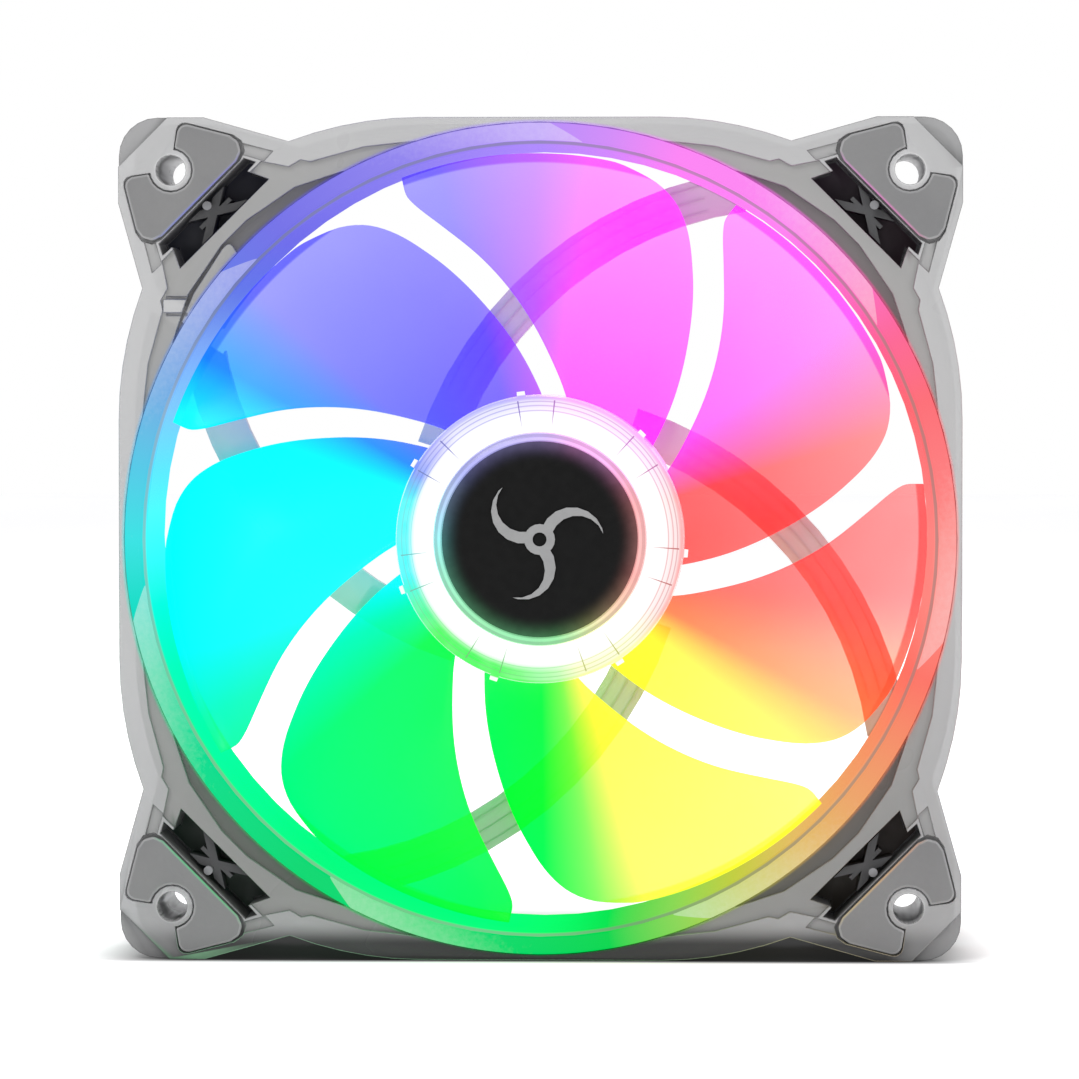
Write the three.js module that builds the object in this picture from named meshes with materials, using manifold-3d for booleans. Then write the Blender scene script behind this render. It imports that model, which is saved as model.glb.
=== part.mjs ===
// A lighted 120 mm case fan: a see-through square frame with a frosted light ring, a clear
// seven-blade impeller that turns on a brushless motor, and six coloured lights round the hub.
// Millimetres. X is right, Z is up and the fan's axis is Y: air enters at the front (-Y) and
// leaves at the rear (+Y). The origin is the middle of the fan.
import * as THREE from "three";
import { mergeVertices } from "three/addons/utils/BufferGeometryUtils.js";
import Module from "manifold-3d";

const wasm = await Module();
wasm.setup();

// ---- Driving dimensions -------------------------------------------------------------------

const HALF_SIZE = 60; // the frame is 120 mm square
const SIDE_FLAT = 17; // half of the straight stretch in the middle of each side
const WAIST = [56.6, 35.7]; // where the bulging side meets the ear
const EAR_START = 47.8; // where the ear's straight side begins
const EAR_CHAMFER = 53; // where the chamfer of the front face's corner begins
const ROUND_CORNER = 5.5; // corner radius of the layers behind the chamfered face
const HALF_DEPTH = 12.5; // 25 mm over the rubber pads
const PAD_PROUD = 0.3; // how far the pads stand in front of the flange
const FRONT = -HALF_DEPTH + PAD_PROUD; // face of the front flange
const REAR = HALF_DEPTH - PAD_PROUD; // face of the rear flange
const FLANGE = 3.2; // thickness of each flange
const PAD_SEAT = 1; // depth of the seat that a pad lies in
const FIT = 0.15; // play between parts that are put together

const HOLE_AT = 52.5; // 105 mm between screw holes
const HOLE_RADIUS = 2.15; // clearance for a self-tapping fan screw
const BOSS_RADIUS = 3.6;
const PAD_NOTCH = 3.15; // radius that a pad keeps clear round the screw hole
const SEAT_NOTCH = 2.95;

const DUCT_RADIUS = 56;
const DUCT_WALL = 2.4;
const RING_IN = 56.8; // light ring
const RING_OUT = 59.2;
const RING_DEPTH = 2.6;
const RECESS_DEPTH = 1.6; // corner recess between light ring and flange
const SHELF_DEPTH = 0.6; // lower face of the flange round the ring, inside its raised rim
const FACET_DEPTH = 0.35; // slanted patch beside the end of each pad
const GROOVE_HALF = 0.2; // fine grooves beside the lead's exit
const GROOVE_DEPTH = 1;

const WINDOW_IN = 63.5; // window in each ear, out along the ear's diagonal
const WINDOW_OUT = 68.1;
const POCKET_FLOOR = -2;
const POCKET_WALL = 1.2;
const INSERT_PLATE = 1; // thickness of the insert's plate
const TRUSS_FRONT = -8.6;
const PIN_FRONT = -10.4;
const PIN_RADIUS = 0.65;

const ARM_COUNT = 4;
const ARM_WIDTH = 6;
const ARM_BEND = 55; // radius that each arm bends to
const ARM_CENTRE = 36.9; // distance of the arm's bending centre from the axis
const ARM_FIRST = -6.6; // direction of that centre for the first arm, in degrees
const ARM_FROM = 98; // angles about the bending centre, at the rim and at the hub
const ARM_TO = 162;
const ARM_THICK = 2.8;
const ARM_FRONT = REAR - ARM_THICK;
const CABLE_ARM = 3; // which arm carries the lead: from the hub's lower left to the upper left
const CHANNEL_WIDTH = 4.2;
const CHANNEL_DEPTH = 1.7;
const EXIT_ANGLE = 149; // where the lead leaves the frame, beside the end of its arm
const EXIT_WIDTH = 3.2;

const BASE_RADIUS = 20.4; // motor base
const TUBE_OUT = 4;
const TUBE_BORE = 3;
const TUBE_FRONT = -6.6;
const BORE_END = 10.4;
const SLEEVE_FRONT = -5.5; // bearing sleeve
const SLEEVE_REAR = 7.2;
const CLIP_FRONT = 7.7; // clip that holds the shaft by its neck
const CLIP_REAR = 8.2;
const LABEL_RADIUS = 17.5;
const LABEL_SEAT = 0.5;

const BLADE_COUNT = 7;
const BLADE_TIP = 55.2;
const LEADING_Y = [-9.4, -8.4]; // a blade's edges and thickness, at the hub and at the tip
const TRAILING_Y = [7.4, 6.2];
const BLADE_THICK = [1.9, 1.2];
const CAMBER = 0.9;
const HUB_RADIUS = 20.6;
const HUB_WALL = 1.4;
const HUB_FRONT = -10.6;
const HUB_PLATE = 1;
const HUB_REAR = 8.6;
const LENS_FRONT = -11.9;
const TAB_FIRST = 97.4; // direction of the lens's first tab, in degrees
const TAB_REACH = 0.6;
const TAB_HALF = 0.7;
const CAP_RADIUS = 14.1;
const TRIM_RADIUS = 15.1;

const SHAFT_RADIUS = 1.5;
const SHAFT_END = 9.3;
const YOKE_RADIUS = 15;
const YOKE_WALL = 0.7;
const YOKE_REAR = 5.8;
const MAGNET_OUT = 14.15;
const MAGNET_IN = 12.9;
const CORE_RADIUS = 12.4;
const CORE_HALF = 3.5;
const POLE_COUNT = 4;
const POLE_WIDTH = 3;
const COIL_IN = 6.3;
const COIL_OUT = 10.4;

const BOARD_THICK = 1;
const BOARD_FRONT = ARM_FRONT - BOARD_THICK;
const LED_COUNT = 6;
const LED_AT = 16.9;
const LED_SIZE = 3.4;
const LED_HEIGHT = 1.4;

const FINE = 72; // sides of the big rounds
const MEDIUM = 36;
const SMALL = 20;
const HUB_SIDES = 42;

// ---- Colours ------------------------------------------------------------------------------

function finish(color, roughness, metalness = 0, opacity = 1) {
  return new THREE.MeshStandardMaterial({
    color,
    roughness,
    metalness,
    opacity,
    transparent: opacity < 1,
  });
}
const SMOKY = finish("#a9abae", 0.25, 0, 0.55);
const FROSTED = finish("#d9dcdf", 0.7);
const CLEAR = finish("#f2f4f6", 0.15, 0, 0.4);
const RUBBER = finish("#8d8f92", 0.8);
const DARK = finish("#232428", 0.6);
const BLACK = finish("#101012", 0.35);
const SILVER = finish("#c4c6c9", 0.35, 0.9);
const STEEL = finish("#9ea1a5", 0.4, 0.9);
const CORE_STEEL = finish("#6e7175", 0.5, 0.8);
const FERRITE = finish("#3a3b3d", 0.7, 0.2);
const NYLON = finish("#eceae2", 0.6);
const COPPER = finish("#b8672e", 0.35, 0.9);
const BRONZE = finish("#a9803f", 0.45, 0.8);
const BOARD = finish("#f0f1ee", 0.5);
const LABEL = finish("#d8dadd", 0.5, 0.3);
const LIGHT = finish("#ffffff", 0.3);

// ---- Solids -------------------------------------------------------------------------------

const DEG = Math.PI / 180;

function solidOf(geometry) {
  const bare = new THREE.BufferGeometry();
  bare.setAttribute("position", geometry.getAttribute("position"));
  bare.setIndex(geometry.getIndex());
  const merged = mergeVertices(bare, 1e-4);
  return new wasm.Manifold(
    new wasm.Mesh({
      numProp: 3,
      vertProperties: merged.attributes.position.array,
      triVerts: new Uint32Array(merged.index.array),
    }),
  );
}

function geometryOf(solid) {
  const mesh = solid.getMesh();
  const geometry = new THREE.BufferGeometry();
  geometry.setAttribute("position", new THREE.BufferAttribute(mesh.vertProperties, 3));
  geometry.setIndex(new THREE.BufferAttribute(mesh.triVerts, 1));
  return geometry;
}

const join = (...solids) => solids.reduce((whole, next) => whole.add(next));
const cut = (solid, ...tools) => tools.reduce((left, tool) => left.subtract(tool), solid);

// A flat outline in X and Z, given as points, drawn out from one Y to another.
function prism(outline, yFront, yRear) {
  const shape = new THREE.Shape(outline.map(([x, z]) => new THREE.Vector2(x, z)));
  const options = { depth: yRear - yFront, bevelEnabled: false };
  const geometry = new THREE.ExtrudeGeometry(shape, options);
  geometry.rotateX(Math.PI / 2).translate(0, yRear, 0);
  return solidOf(geometry);
}

// A closed outline in radius and Y, listed with its outer side running towards +Y, turned
// about the fan's axis.
function turned(outline, sides) {
  const points = [...outline, outline[0]].map(([r, y]) => new THREE.Vector2(r, y));
  return solidOf(new THREE.LatheGeometry(points, sides));
}

// A plain ring or disc about the axis.
function ring(rIn, rOut, yFront, yRear, sides = MEDIUM) {
  const outline = [[rIn, yFront], [rOut, yFront], [rOut, yRear], [rIn, yRear]];
  return turned(outline, sides);
}

// A round plate or rod along the axis, or beside it.
function disc(radius, yFront, yRear, sides = MEDIUM, [x, z] = [0, 0]) {
  const geometry = new THREE.CylinderGeometry(radius, radius, yRear - yFront, sides);
  return solidOf(geometry.translate(x, (yFront + yRear) / 2, z));
}

// A box from its extent in X, Y and Z.
function block([x0, x1], [y0, y1], [z0, z1]) {
  const geometry = new THREE.BoxGeometry(x1 - x0, y1 - y0, z1 - z0);
  return solidOf(geometry.translate((x0 + x1) / 2, (y0 + y1) / 2, (z0 + z1) / 2));
}

// Turns a solid about the fan's axis; positive degrees are counter-clockwise from the front.
const turn = (solid, degrees) => solid.rotate([0, -degrees, 0]);

// ---- Outlines -----------------------------------------------------------------------------

const polar = (r, degrees) => [r * Math.cos(degrees * DEG), r * Math.sin(degrees * DEG)];

function arc(radius, from, to, steps, [x, z] = [0, 0]) {
  return Array.from({ length: steps + 1 }, (_, i) => {
    const [dx, dz] = polar(radius, from + ((to - from) * i) / steps);
    return [x + dx, z + dz];
  });
}

const sector = (rIn, rOut, from, to, steps, centre) => [
  ...arc(rOut, from, to, steps, centre),
  ...arc(rIn, to, from, steps, centre),
];

function bend(start, pull, end, steps) {
  const [a, b, c] = [start, pull, end].map(([x, z]) => new THREE.Vector2(x, z));
  const curve = new THREE.QuadraticBezierCurve(a, b, c);
  return curve.getPoints(steps).map((p) => [p.x, p.y]);
}

// A polygon given as [x, z, rounding] corners, with each corner rounded off.
function rounded(corners, steps = 3) {
  return corners.flatMap(([x, z, radius = 0], i) => {
    if (!radius) return [[x, z]];
    const here = new THREE.Vector2(x, z);
    const sides = [corners.at(i - 1), corners[(i + 1) % corners.length]].map(
      ([nx, nz]) => new THREE.Vector2(nx, nz).sub(here).normalize(),
    );
    const half = Math.acos(sides[0].dot(sides[1])) / 2;
    const middle = sides[0].clone().add(sides[1]).normalize();
    const centre = here.clone().addScaledVector(middle, radius / Math.sin(half));
    const spread = 90 - half / DEG;
    const facing = Math.atan2(-middle.y, -middle.x) / DEG;
    const way = Math.sign(sides[0].cross(sides[1])) || 1;
    return arc(radius, facing + way * spread, facing - way * spread, steps, [centre.x, centre.y]);
  });
}

// The four corners of the frame, by name, as the signs of X and Z.
const CORNERS = { tl: [-1, 1], tr: [1, 1], bl: [-1, -1], br: [1, -1] };
const mirrored = (outline, [sx, sz]) => outline.map(([x, z]) => [x * sx, z * sz]);

// A point of the upper right ear from its distance out along the diagonal and across it.
const ear = (out, across) => [(out - across) / Math.SQRT2, (out + across) / Math.SQRT2];

// ---- Frame --------------------------------------------------------------------------------

const flip = ([x, z]) => [z, x];

// One quarter of the frame's outline, from the middle of the right side to the middle of the top.
function quarterOutline(corner) {
  const bulge = bend([HALF_SIZE, SIDE_FLAT], [HALF_SIZE, 26.5], WAIST, 5);
  return [
    ...bulge,
    [HALF_SIZE, EAR_START],
    ...corner,
    [EAR_START, HALF_SIZE],
    ...bulge.map(flip).reverse(),
  ];
}

function frameOutline(corner) {
  const quarter = quarterOutline(corner);
  const left = mirrored(quarter, CORNERS.tl).reverse();
  const lower = mirrored(quarter, CORNERS.bl);
  const right = mirrored(quarter, CORNERS.br).reverse();
  return [...quarter, ...left, ...lower, ...right];
}

const CHAMFERED = frameOutline([[HALF_SIZE, EAR_CHAMFER], [EAR_CHAMFER, HALF_SIZE]]);
const CORNER_CENTRE = [HALF_SIZE - ROUND_CORNER, HALF_SIZE - ROUND_CORNER];
const ROUNDED = frameOutline(arc(ROUND_CORNER, 0, 90, 6, CORNER_CENTRE));

const PAD = rounded([
  [51.3, 59.3, 1.2],
  [40.4, 56.5, 2.2],
  [56.5, 40.4, 2.2],
  [59.3, 51.3, 1.2],
  [HOLE_AT, HOLE_AT],
]);
const PAD_SEAT_OUTLINE = rounded([
  [51.5, 59.55, 1.2],
  [39.9, 56.55, 2.2],
  [56.55, 39.9, 2.2],
  [59.55, 51.5, 1.2],
  [HOLE_AT, HOLE_AT],
]);

// The window in each ear: inner edge, outer edge, and ends with a step in them.
const windowOutline = (grow) => [
  ear(WINDOW_IN - grow, -9 - grow),
  ear(WINDOW_IN - grow, 9 + grow),
  ear(66.4, 7.6 + grow),
  ear(66.5, 9.4 + grow),
  ear(WINDOW_OUT + grow, 8.6 + grow),
  ear(WINDOW_OUT + grow, -8.6 - grow),
  ear(66.5, -9.4 - grow),
  ear(66.4, -7.6 - grow),
];

// Shapes in the front flange of each ear, given from the side's half and mirrored about the
// ear's diagonal.
const bothHalves = (half) => [...half, ...half.map(flip).reverse()];
const RECESS = bothHalves([[48, 24], [52.4, 28], [50.1, 34.9], [45.4, 41.8]]);
const SHELF = bothHalves([
  [40, 17],
  [56.7, 17],
  [55.8, 25],
  [53.7, 32.6],
  [54, 34],
  [53, 35.7],
  [53.8, 39.6],
]);
const FACET = [[42.6, 56.4], [37.9, 55.2], [39.2, 53.8], [42.6, 54.8]];

// Beside the lead's exit a patch of the flange stays at full height between two grooves, and
// a cover over the lead fills the near end of the recess.
const EXIT_PATCH = [[-53.6, 32.3], [-50.4, 32.3], [-50.4, 34.1], [-53.6, 34.1]];
const EXIT_GROOVES = [32, 34.4];
const LEAD_COVER = rounded([
  [-43, 40.5],
  [-44.2, 42.4, 0.6],
  [-45.2, 41.3, 0.4],
  [-49.3, 35],
  [-51, 31],
  [-49, 29],
]);

const armAngle = (index) => ARM_FIRST - (360 / ARM_COUNT) * index;

// A strip that follows an arm, by its place across the arm and its end angles about the bend.
function armStrip(index, inner, outer, from, to, steps) {
  const centre = polar(ARM_CENTRE, armAngle(index));
  const around = armAngle(index) - ARM_FIRST;
  return sector(ARM_BEND + inner, ARM_BEND + outer, from + around, to + around, steps, centre);
}

function arm(index) {
  const half = ARM_WIDTH / 2;
  const body = prism(armStrip(index, -half, half, ARM_FROM, ARM_TO, 12), ARM_FRONT, REAR);
  if (index === CABLE_ARM) {
    const channel = armStrip(index, -CHANNEL_WIDTH / 2, CHANNEL_WIDTH / 2, 104, 151, 10);
    return cut(body, prism(channel, REAR - CHANNEL_DEPTH, REAR + 1));
  }
  return body;
}

function earBody(corner) {
  const [sx, sz] = corner;
  const hole = [HOLE_AT * sx, HOLE_AT * sz];
  const boss = disc(BOSS_RADIUS, FRONT + PAD_SEAT, REAR - PAD_SEAT, SMALL, hole);
  const cup = prism(
    mirrored(windowOutline(POCKET_WALL), corner),
    FRONT + PAD_SEAT,
    POCKET_FLOOR + POCKET_WALL,
  );
  return join(boss, cup);
}

// The relief of the front flange: facets, shelf and recess, which end at the light ring.
function flangeRelief(corner) {
  const above = FRONT - 1;
  const inside = disc(RING_OUT, above - 1, FRONT + FLANGE, FINE);
  const patch = prism(EXIT_PATCH, above - 1, FRONT + FLANGE);
  const cover = prism(LEAD_COVER, above - 1, FRONT + FLANGE);
  const shelf = prism(mirrored(SHELF, corner), above, FRONT + SHELF_DEPTH);
  const recess = prism(mirrored(RECESS, corner), above, FRONT + RECESS_DEPTH);
  const facets = [FACET, FACET.map(flip)].map((facet) =>
    prism(mirrored(facet, corner), above, FRONT + FACET_DEPTH),
  );
  return [cut(shelf, inside, patch), cut(recess, inside, cover), ...facets];
}

function earCuts(corner) {
  const [sx, sz] = corner;
  const hole = [HOLE_AT * sx, HOLE_AT * sz];
  const seat = mirrored(PAD_SEAT_OUTLINE, corner);
  const collar = disc(SEAT_NOTCH, FRONT - 2, REAR + 2, SMALL, hole);
  return [
    disc(HOLE_RADIUS, FRONT - 1, REAR + 1, SMALL, hole),
    prism(mirrored(windowOutline(0), corner), FRONT - 1, POCKET_FLOOR),
    cut(prism(seat, FRONT - 1, FRONT + PAD_SEAT), collar),
    cut(prism(seat, REAR - PAD_SEAT, REAR + 1), collar),
    ...flangeRelief(corner),
  ];
}

function housing() {
  const corners = Object.values(CORNERS);
  const plates = join(
    prism(CHAMFERED, FRONT, FRONT + PAD_SEAT),
    prism(ROUNDED, FRONT + PAD_SEAT, FRONT + FLANGE),
    prism(ROUNDED, REAR - FLANGE, REAR),
    ring(DUCT_RADIUS - 1, DUCT_RADIUS + DUCT_WALL, FRONT, REAR, FINE),
    ...corners.map(earBody),
  );
  const groove = ring(RING_IN - FIT, RING_OUT + FIT, FRONT - 1, FRONT + RING_DEPTH + 0.1, FINE);
  const shell = cut(
    plates,
    disc(DUCT_RADIUS, FRONT - 1, REAR + 1, FINE),
    groove,
    ...corners.flatMap(earCuts),
  );
  const reach = disc(DUCT_RADIUS + DUCT_WALL / 2, ARM_FRONT - 2, REAR + 2, FINE);
  const arms = Array.from({ length: ARM_COUNT }, (_, i) => arm(i).intersect(reach));
  const base = join(
    disc(BASE_RADIUS, ARM_FRONT, REAR),
    disc(TUBE_OUT, TUBE_FRONT, ARM_FRONT + 0.5, SMALL),
  );
  const bore = disc(TUBE_BORE, TUBE_FRONT - 1, BORE_END, SMALL);
  const labelSeat = disc(LABEL_RADIUS + FIT, REAR - LABEL_SEAT, REAR + 1);
  const half = EXIT_WIDTH / 2;
  const exit = turn(block([54, 68], [REAR - FLANGE - 1, REAR + 1], [-half, half]), EXIT_ANGLE);
  const grooves = EXIT_GROOVES.map((z) =>
    block([-53.2, -50.2], [FRONT - 1, FRONT + GROOVE_DEPTH], [z - GROOVE_HALF, z + GROOVE_HALF]),
  );
  return cut(join(shell, ...arms, base), bore, labelSeat, exit, ...grooves);
}

function lightRing() {
  const bevel = 0.4;
  const rear = FRONT + RING_DEPTH;
  const outline = [
    [RING_IN, FRONT + bevel],
    [RING_IN + bevel, FRONT],
    [RING_OUT - bevel, FRONT],
    [RING_OUT, FRONT + bevel],
    [RING_OUT, rear],
    [RING_IN, rear],
  ];
  return turned(outline, FINE);
}

// The pads lie in their seats and stand a little proud of the flange.
function pad(corner, atRear) {
  const [sx, sz] = corner;
  const faces = atRear ? [REAR - PAD_SEAT, HALF_DEPTH] : [-HALF_DEPTH, FRONT + PAD_SEAT];
  const notch = disc(PAD_NOTCH, -HALF_DEPTH - 1, HALF_DEPTH + 1, SMALL, [
    HOLE_AT * sx,
    HOLE_AT * sz,
  ]);
  return cut(prism(mirrored(PAD, corner), ...faces), notch);
}

// A dark plate on the floor of the window's pocket, with a crossed truss standing on it and a
// locating pin beside the pad.
function cornerInsert(corner) {
  const plateFront = POCKET_FLOOR - INSERT_PLATE;
  const rootedAt = plateFront + INSERT_PLATE / 2;
  const onPlate = (outline, front) => prism(mirrored(outline, corner), front, rootedAt);
  const ribs = [1, -1].map((way) => {
    const low = [ear(63.9, 4.6 * way), ear(63.9, 2.4 * way)];
    const high = [ear(67.6, -3.6 * way), ear(67.6, -1.4 * way)];
    return onPlate([...low, ...high], TRUSS_FRONT);
  });
  const bar = onPlate([ear(65.4, -3), ear(65.4, 3), ear(66, 3), ear(66, -3)], TRUSS_FRONT);
  const [x, z] = mirrored([ear(67.2, 0)], corner)[0];
  return join(
    prism(mirrored(windowOutline(-0.3), corner), plateFront, POCKET_FLOOR),
    ...ribs,
    bar,
    disc(PIN_RADIUS, PIN_FRONT, rootedAt, 12, [x, z]),
  );
}

function cableClip(from, to) {
  const half = CHANNEL_WIDTH / 2 - FIT;
  return prism(armStrip(CABLE_ARM, -half, half, from, to, 2), REAR - 1.1, REAR - 0.2);
}

// ---- Motor, fixed half --------------------------------------------------------------------

function circuitBoard() {
  return ring(TUBE_OUT + 0.3, LED_AT + LED_SIZE / 2 + 0.2, BOARD_FRONT, ARM_FRONT);
}

// A box on the board, by its place round the axis and its width across and along the radius.
function onBoard(radius, degrees, across, along, height) {
  const x = [radius - along / 2, radius + along / 2];
  return turn(block(x, [BOARD_FRONT - height, BOARD_FRONT], [-across / 2, across / 2]), degrees);
}

function led(index) {
  const body = onBoard(LED_AT, 0, LED_SIZE, LED_SIZE, LED_HEIGHT);
  const well = disc(1.15, BOARD_FRONT - LED_HEIGHT - 1, BOARD_FRONT - LED_HEIGHT + 0.4, 16, [
    LED_AT,
    0,
  ]);
  return turn(cut(body, well), (360 / LED_COUNT) * index);
}

const eachPole = (make) => Array.from({ length: POLE_COUNT }, (_, i) => turn(make(i), 90 * i));

function statorCore() {
  const half = POLE_WIDTH / 2;
  const spokes = eachPole(() => block([5, 11.6], [-CORE_HALF, CORE_HALF], [-half, half]));
  const shoes = eachPole(() => prism(sector(11.3, CORE_RADIUS, -37, 37, 6), -CORE_HALF, CORE_HALF));
  return join(ring(TUBE_OUT + 0.2, 5.9, -CORE_HALF, CORE_HALF, SMALL), ...spokes, ...shoes);
}

// One half of the bobbin that the coils are wound on, lying on a face of the core.
function insulator(side) {
  const near = CORE_HALF;
  const span = (to) => (side < 0 ? [-to, -near] : [near, to]);
  const half = POLE_WIDTH / 2 - 0.1;
  const spokes = eachPole(() => block([5, 11.2], span(near + 0.5), [-half, half]));
  const walls = eachPole(() => block([10.7, 11.2], span(near + 2.2), [-3.8, 3.8]));
  return join(ring(TUBE_OUT + 0.25, 5.7, ...span(near + 2.2), SMALL), ...spokes, ...walls);
}

function coil(index) {
  const outer = rounded([[-3.3, -5.6, 1.4], [3.3, -5.6, 1.4], [3.3, 5.6, 1.4], [-3.3, 5.6, 1.4]], 3);
  const inner = rounded([[-1.7, -4.2, 0.4], [1.7, -4.2, 0.4], [1.7, 4.2, 0.4], [-1.7, 4.2, 0.4]], 2);
  const winding = cut(prism(outer, COIL_IN, COIL_OUT), prism(inner, COIL_IN - 1, COIL_OUT + 1));
  return turn(winding.rotate([0, 0, -90]).rotate([90, 0, 0]), 90 * index);
}

// ---- Bearing ------------------------------------------------------------------------------

const bearingSleeve = () =>
  ring(SHAFT_RADIUS + FIT, TUBE_BORE - FIT, SLEEVE_FRONT, SLEEVE_REAR, SMALL);
const oilSeal = () =>
  ring(SHAFT_RADIUS + 0.2, TUBE_BORE - FIT, TUBE_FRONT + 0.3, SLEEVE_FRONT - 0.2, SMALL);
const retainingClip = () => ring(1.3, TUBE_BORE - FIT, CLIP_FRONT, CLIP_REAR, SMALL);
const thrustPad = () => disc(TUBE_BORE - FIT, SHAFT_END + 0.3, BORE_END, SMALL);
const rearLabel = () => disc(LABEL_RADIUS, REAR - LABEL_SEAT, REAR - 0.1);

// ---- Impeller -----------------------------------------------------------------------------

const STATIONS = [19.9, 25, 30, 35, 40, 45, 49, 52, 54, BLADE_TIP];
const CHORD_STEPS = 6;

// The two edges of a blade, as angles in degrees at each radius, and where they lie in depth.
// The leading edge is in front and sweeps ahead; the trailing edge rounds off into the tip.
const LEADING = [
  [20, 78],
  [25.5, 85.7],
  [31, 91.8],
  [41, 101.7],
  [47, 107.5],
  [52, 111.1],
  [BLADE_TIP, 111],
];
const TRAILING = [
  [20, 39.5],
  [24, 43.5],
  [33.5, 52.1],
  [44, 60.6],
  [50.5, 66.4],
  [53.5, 71.5],
  [BLADE_TIP, 79],
];

function along(table, x) {
  const next = Math.max(1, table.findIndex(([at]) => at >= x));
  const [[x0, v0], [x1, v1]] = [table[next - 1], table[next]];
  return v0 + ((v1 - v0) * (x - x0)) / (x1 - x0);
}

const between = ([hub, tip], radius) => {
  const share = (radius - HUB_RADIUS) / (BLADE_TIP - HUB_RADIUS);
  return hub + (tip - hub) * share;
};

// A point of the blade's middle surface: share 0 is the leading edge and 1 the trailing edge.
function bladePoint(radius, share) {
  const lead = along(LEADING, Math.max(radius, LEADING[0][0]));
  const trail = along(TRAILING, Math.max(radius, TRAILING[0][0]));
  const [x, z] = polar(radius, lead + (trail - lead) * share);
  const [front, rear] = [between(LEADING_Y, radius), between(TRAILING_Y, radius)];
  const y = front + (rear - front) * share + CAMBER * Math.sin(Math.PI * share);
  return new THREE.Vector3(x, y, z);
}

function bladeNormal(radius, share) {
  const step = 0.01;
  const across = bladePoint(radius, share + step).sub(bladePoint(radius, share - step));
  const out = bladePoint(radius + step, share).sub(bladePoint(radius - step, share));
  return across.cross(out).normalize();
}

function blade() {
  const rows = STATIONS.length;
  const columns = CHORD_STEPS + 1;
  const positions = [];
  for (const side of [1, -1])
    for (const radius of STATIONS)
      for (let i = 0; i < columns; i += 1) {
        const share = i / CHORD_STEPS;
        const fullness = 0.35 + 0.65 * Math.sqrt(Math.sin(Math.PI * share));
        const half = (between(BLADE_THICK, radius) * fullness) / 2;
        const normal = bladeNormal(Math.min(radius, BLADE_TIP - 0.1), share);
        const point = bladePoint(radius, share).addScaledVector(normal, side * half);
        positions.push(point.x, point.y, point.z);
      }
  const at = (side, row, column) => (side * rows + row) * columns + column;
  const faces = [];
  const quad = (a, b, c, d) => faces.push(a, b, c, a, c, d);
  for (let row = 0; row < rows - 1; row += 1) {
    for (let i = 0; i < columns - 1; i += 1) {
      quad(at(0, row, i), at(0, row, i + 1), at(0, row + 1, i + 1), at(0, row + 1, i));
      quad(at(1, row, i), at(1, row + 1, i), at(1, row + 1, i + 1), at(1, row, i + 1));
    }
    quad(at(0, row, 0), at(0, row + 1, 0), at(1, row + 1, 0), at(1, row, 0));
    const last = columns - 1;
    quad(at(0, row, last), at(1, row, last), at(1, row + 1, last), at(0, row + 1, last));
  }
  for (let i = 0; i < columns - 1; i += 1) {
    quad(at(0, 0, i), at(1, 0, i), at(1, 0, i + 1), at(0, 0, i + 1));
    const tip = rows - 1;
    quad(at(0, tip, i), at(0, tip, i + 1), at(1, tip, i + 1), at(1, tip, i));
  }
  const geometry = new THREE.BufferGeometry();
  geometry.setAttribute("position", new THREE.Float32BufferAttribute(positions, 3));
  geometry.setIndex(faces);
  return solidOf(geometry);
}

function impeller() {
  const inner = HUB_RADIUS - HUB_WALL;
  const plateRear = HUB_FRONT + HUB_PLATE;
  const cup = turned(
    [
      [0, HUB_FRONT],
      [HUB_RADIUS - 0.4, HUB_FRONT],
      [HUB_RADIUS, HUB_FRONT + 0.4],
      [HUB_RADIUS, HUB_REAR],
      [inner, HUB_REAR],
      [inner, plateRear],
      [0, plateRear],
    ],
    HUB_SIDES,
  );
  const skirt = ring(YOKE_RADIUS + FIT, YOKE_RADIUS + 1.2, HUB_FRONT + 0.5, 3);
  const blades = Array.from({ length: BLADE_COUNT }, (_, i) => turn(blade(), (-360 / BLADE_COUNT) * i));
  const hollow = ring(YOKE_RADIUS + 1.2, inner, plateRear, HUB_REAR + 1);
  const kept = blades.map((one) => cut(one, hollow));
  return join(cup, skirt, ...kept);
}

// The lens snaps on the hub with a small tab for each blade.

function hubLens() {
  const outer = HUB_RADIUS - 0.2;
  const plate = turned(
    [
      [TRIM_RADIUS + FIT, LENS_FRONT],
      [outer - 0.5, LENS_FRONT],
      [outer, LENS_FRONT + 0.5],
      [outer, HUB_FRONT],
      [TRIM_RADIUS + FIT, HUB_FRONT],
    ],
    HUB_SIDES,
  );
  const reach = [outer - 1.5, HUB_RADIUS + TAB_REACH];
  const tabs = Array.from({ length: BLADE_COUNT }, (_, i) => {
    const tab = block(reach, [LENS_FRONT + 0.5, HUB_FRONT - 0.2], [-TAB_HALF, TAB_HALF]);
    return turn(tab, TAB_FIRST - (360 / BLADE_COUNT) * i);
  });
  return join(plate, ...tabs);
}

function capRing() {
  const front = LENS_FRONT - 0.2;
  const outline = [
    [CAP_RADIUS, front + 0.4],
    [CAP_RADIUS + 0.45, front],
    [TRIM_RADIUS, front + 0.5],
    [TRIM_RADIUS, HUB_FRONT],
    [CAP_RADIUS, HUB_FRONT],
  ];
  return turned(outline, MEDIUM);
}

const CAP_FRONT = LENS_FRONT + 0.1;
const hubCap = () => disc(CAP_RADIUS - FIT, CAP_FRONT, HUB_FRONT);

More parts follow.
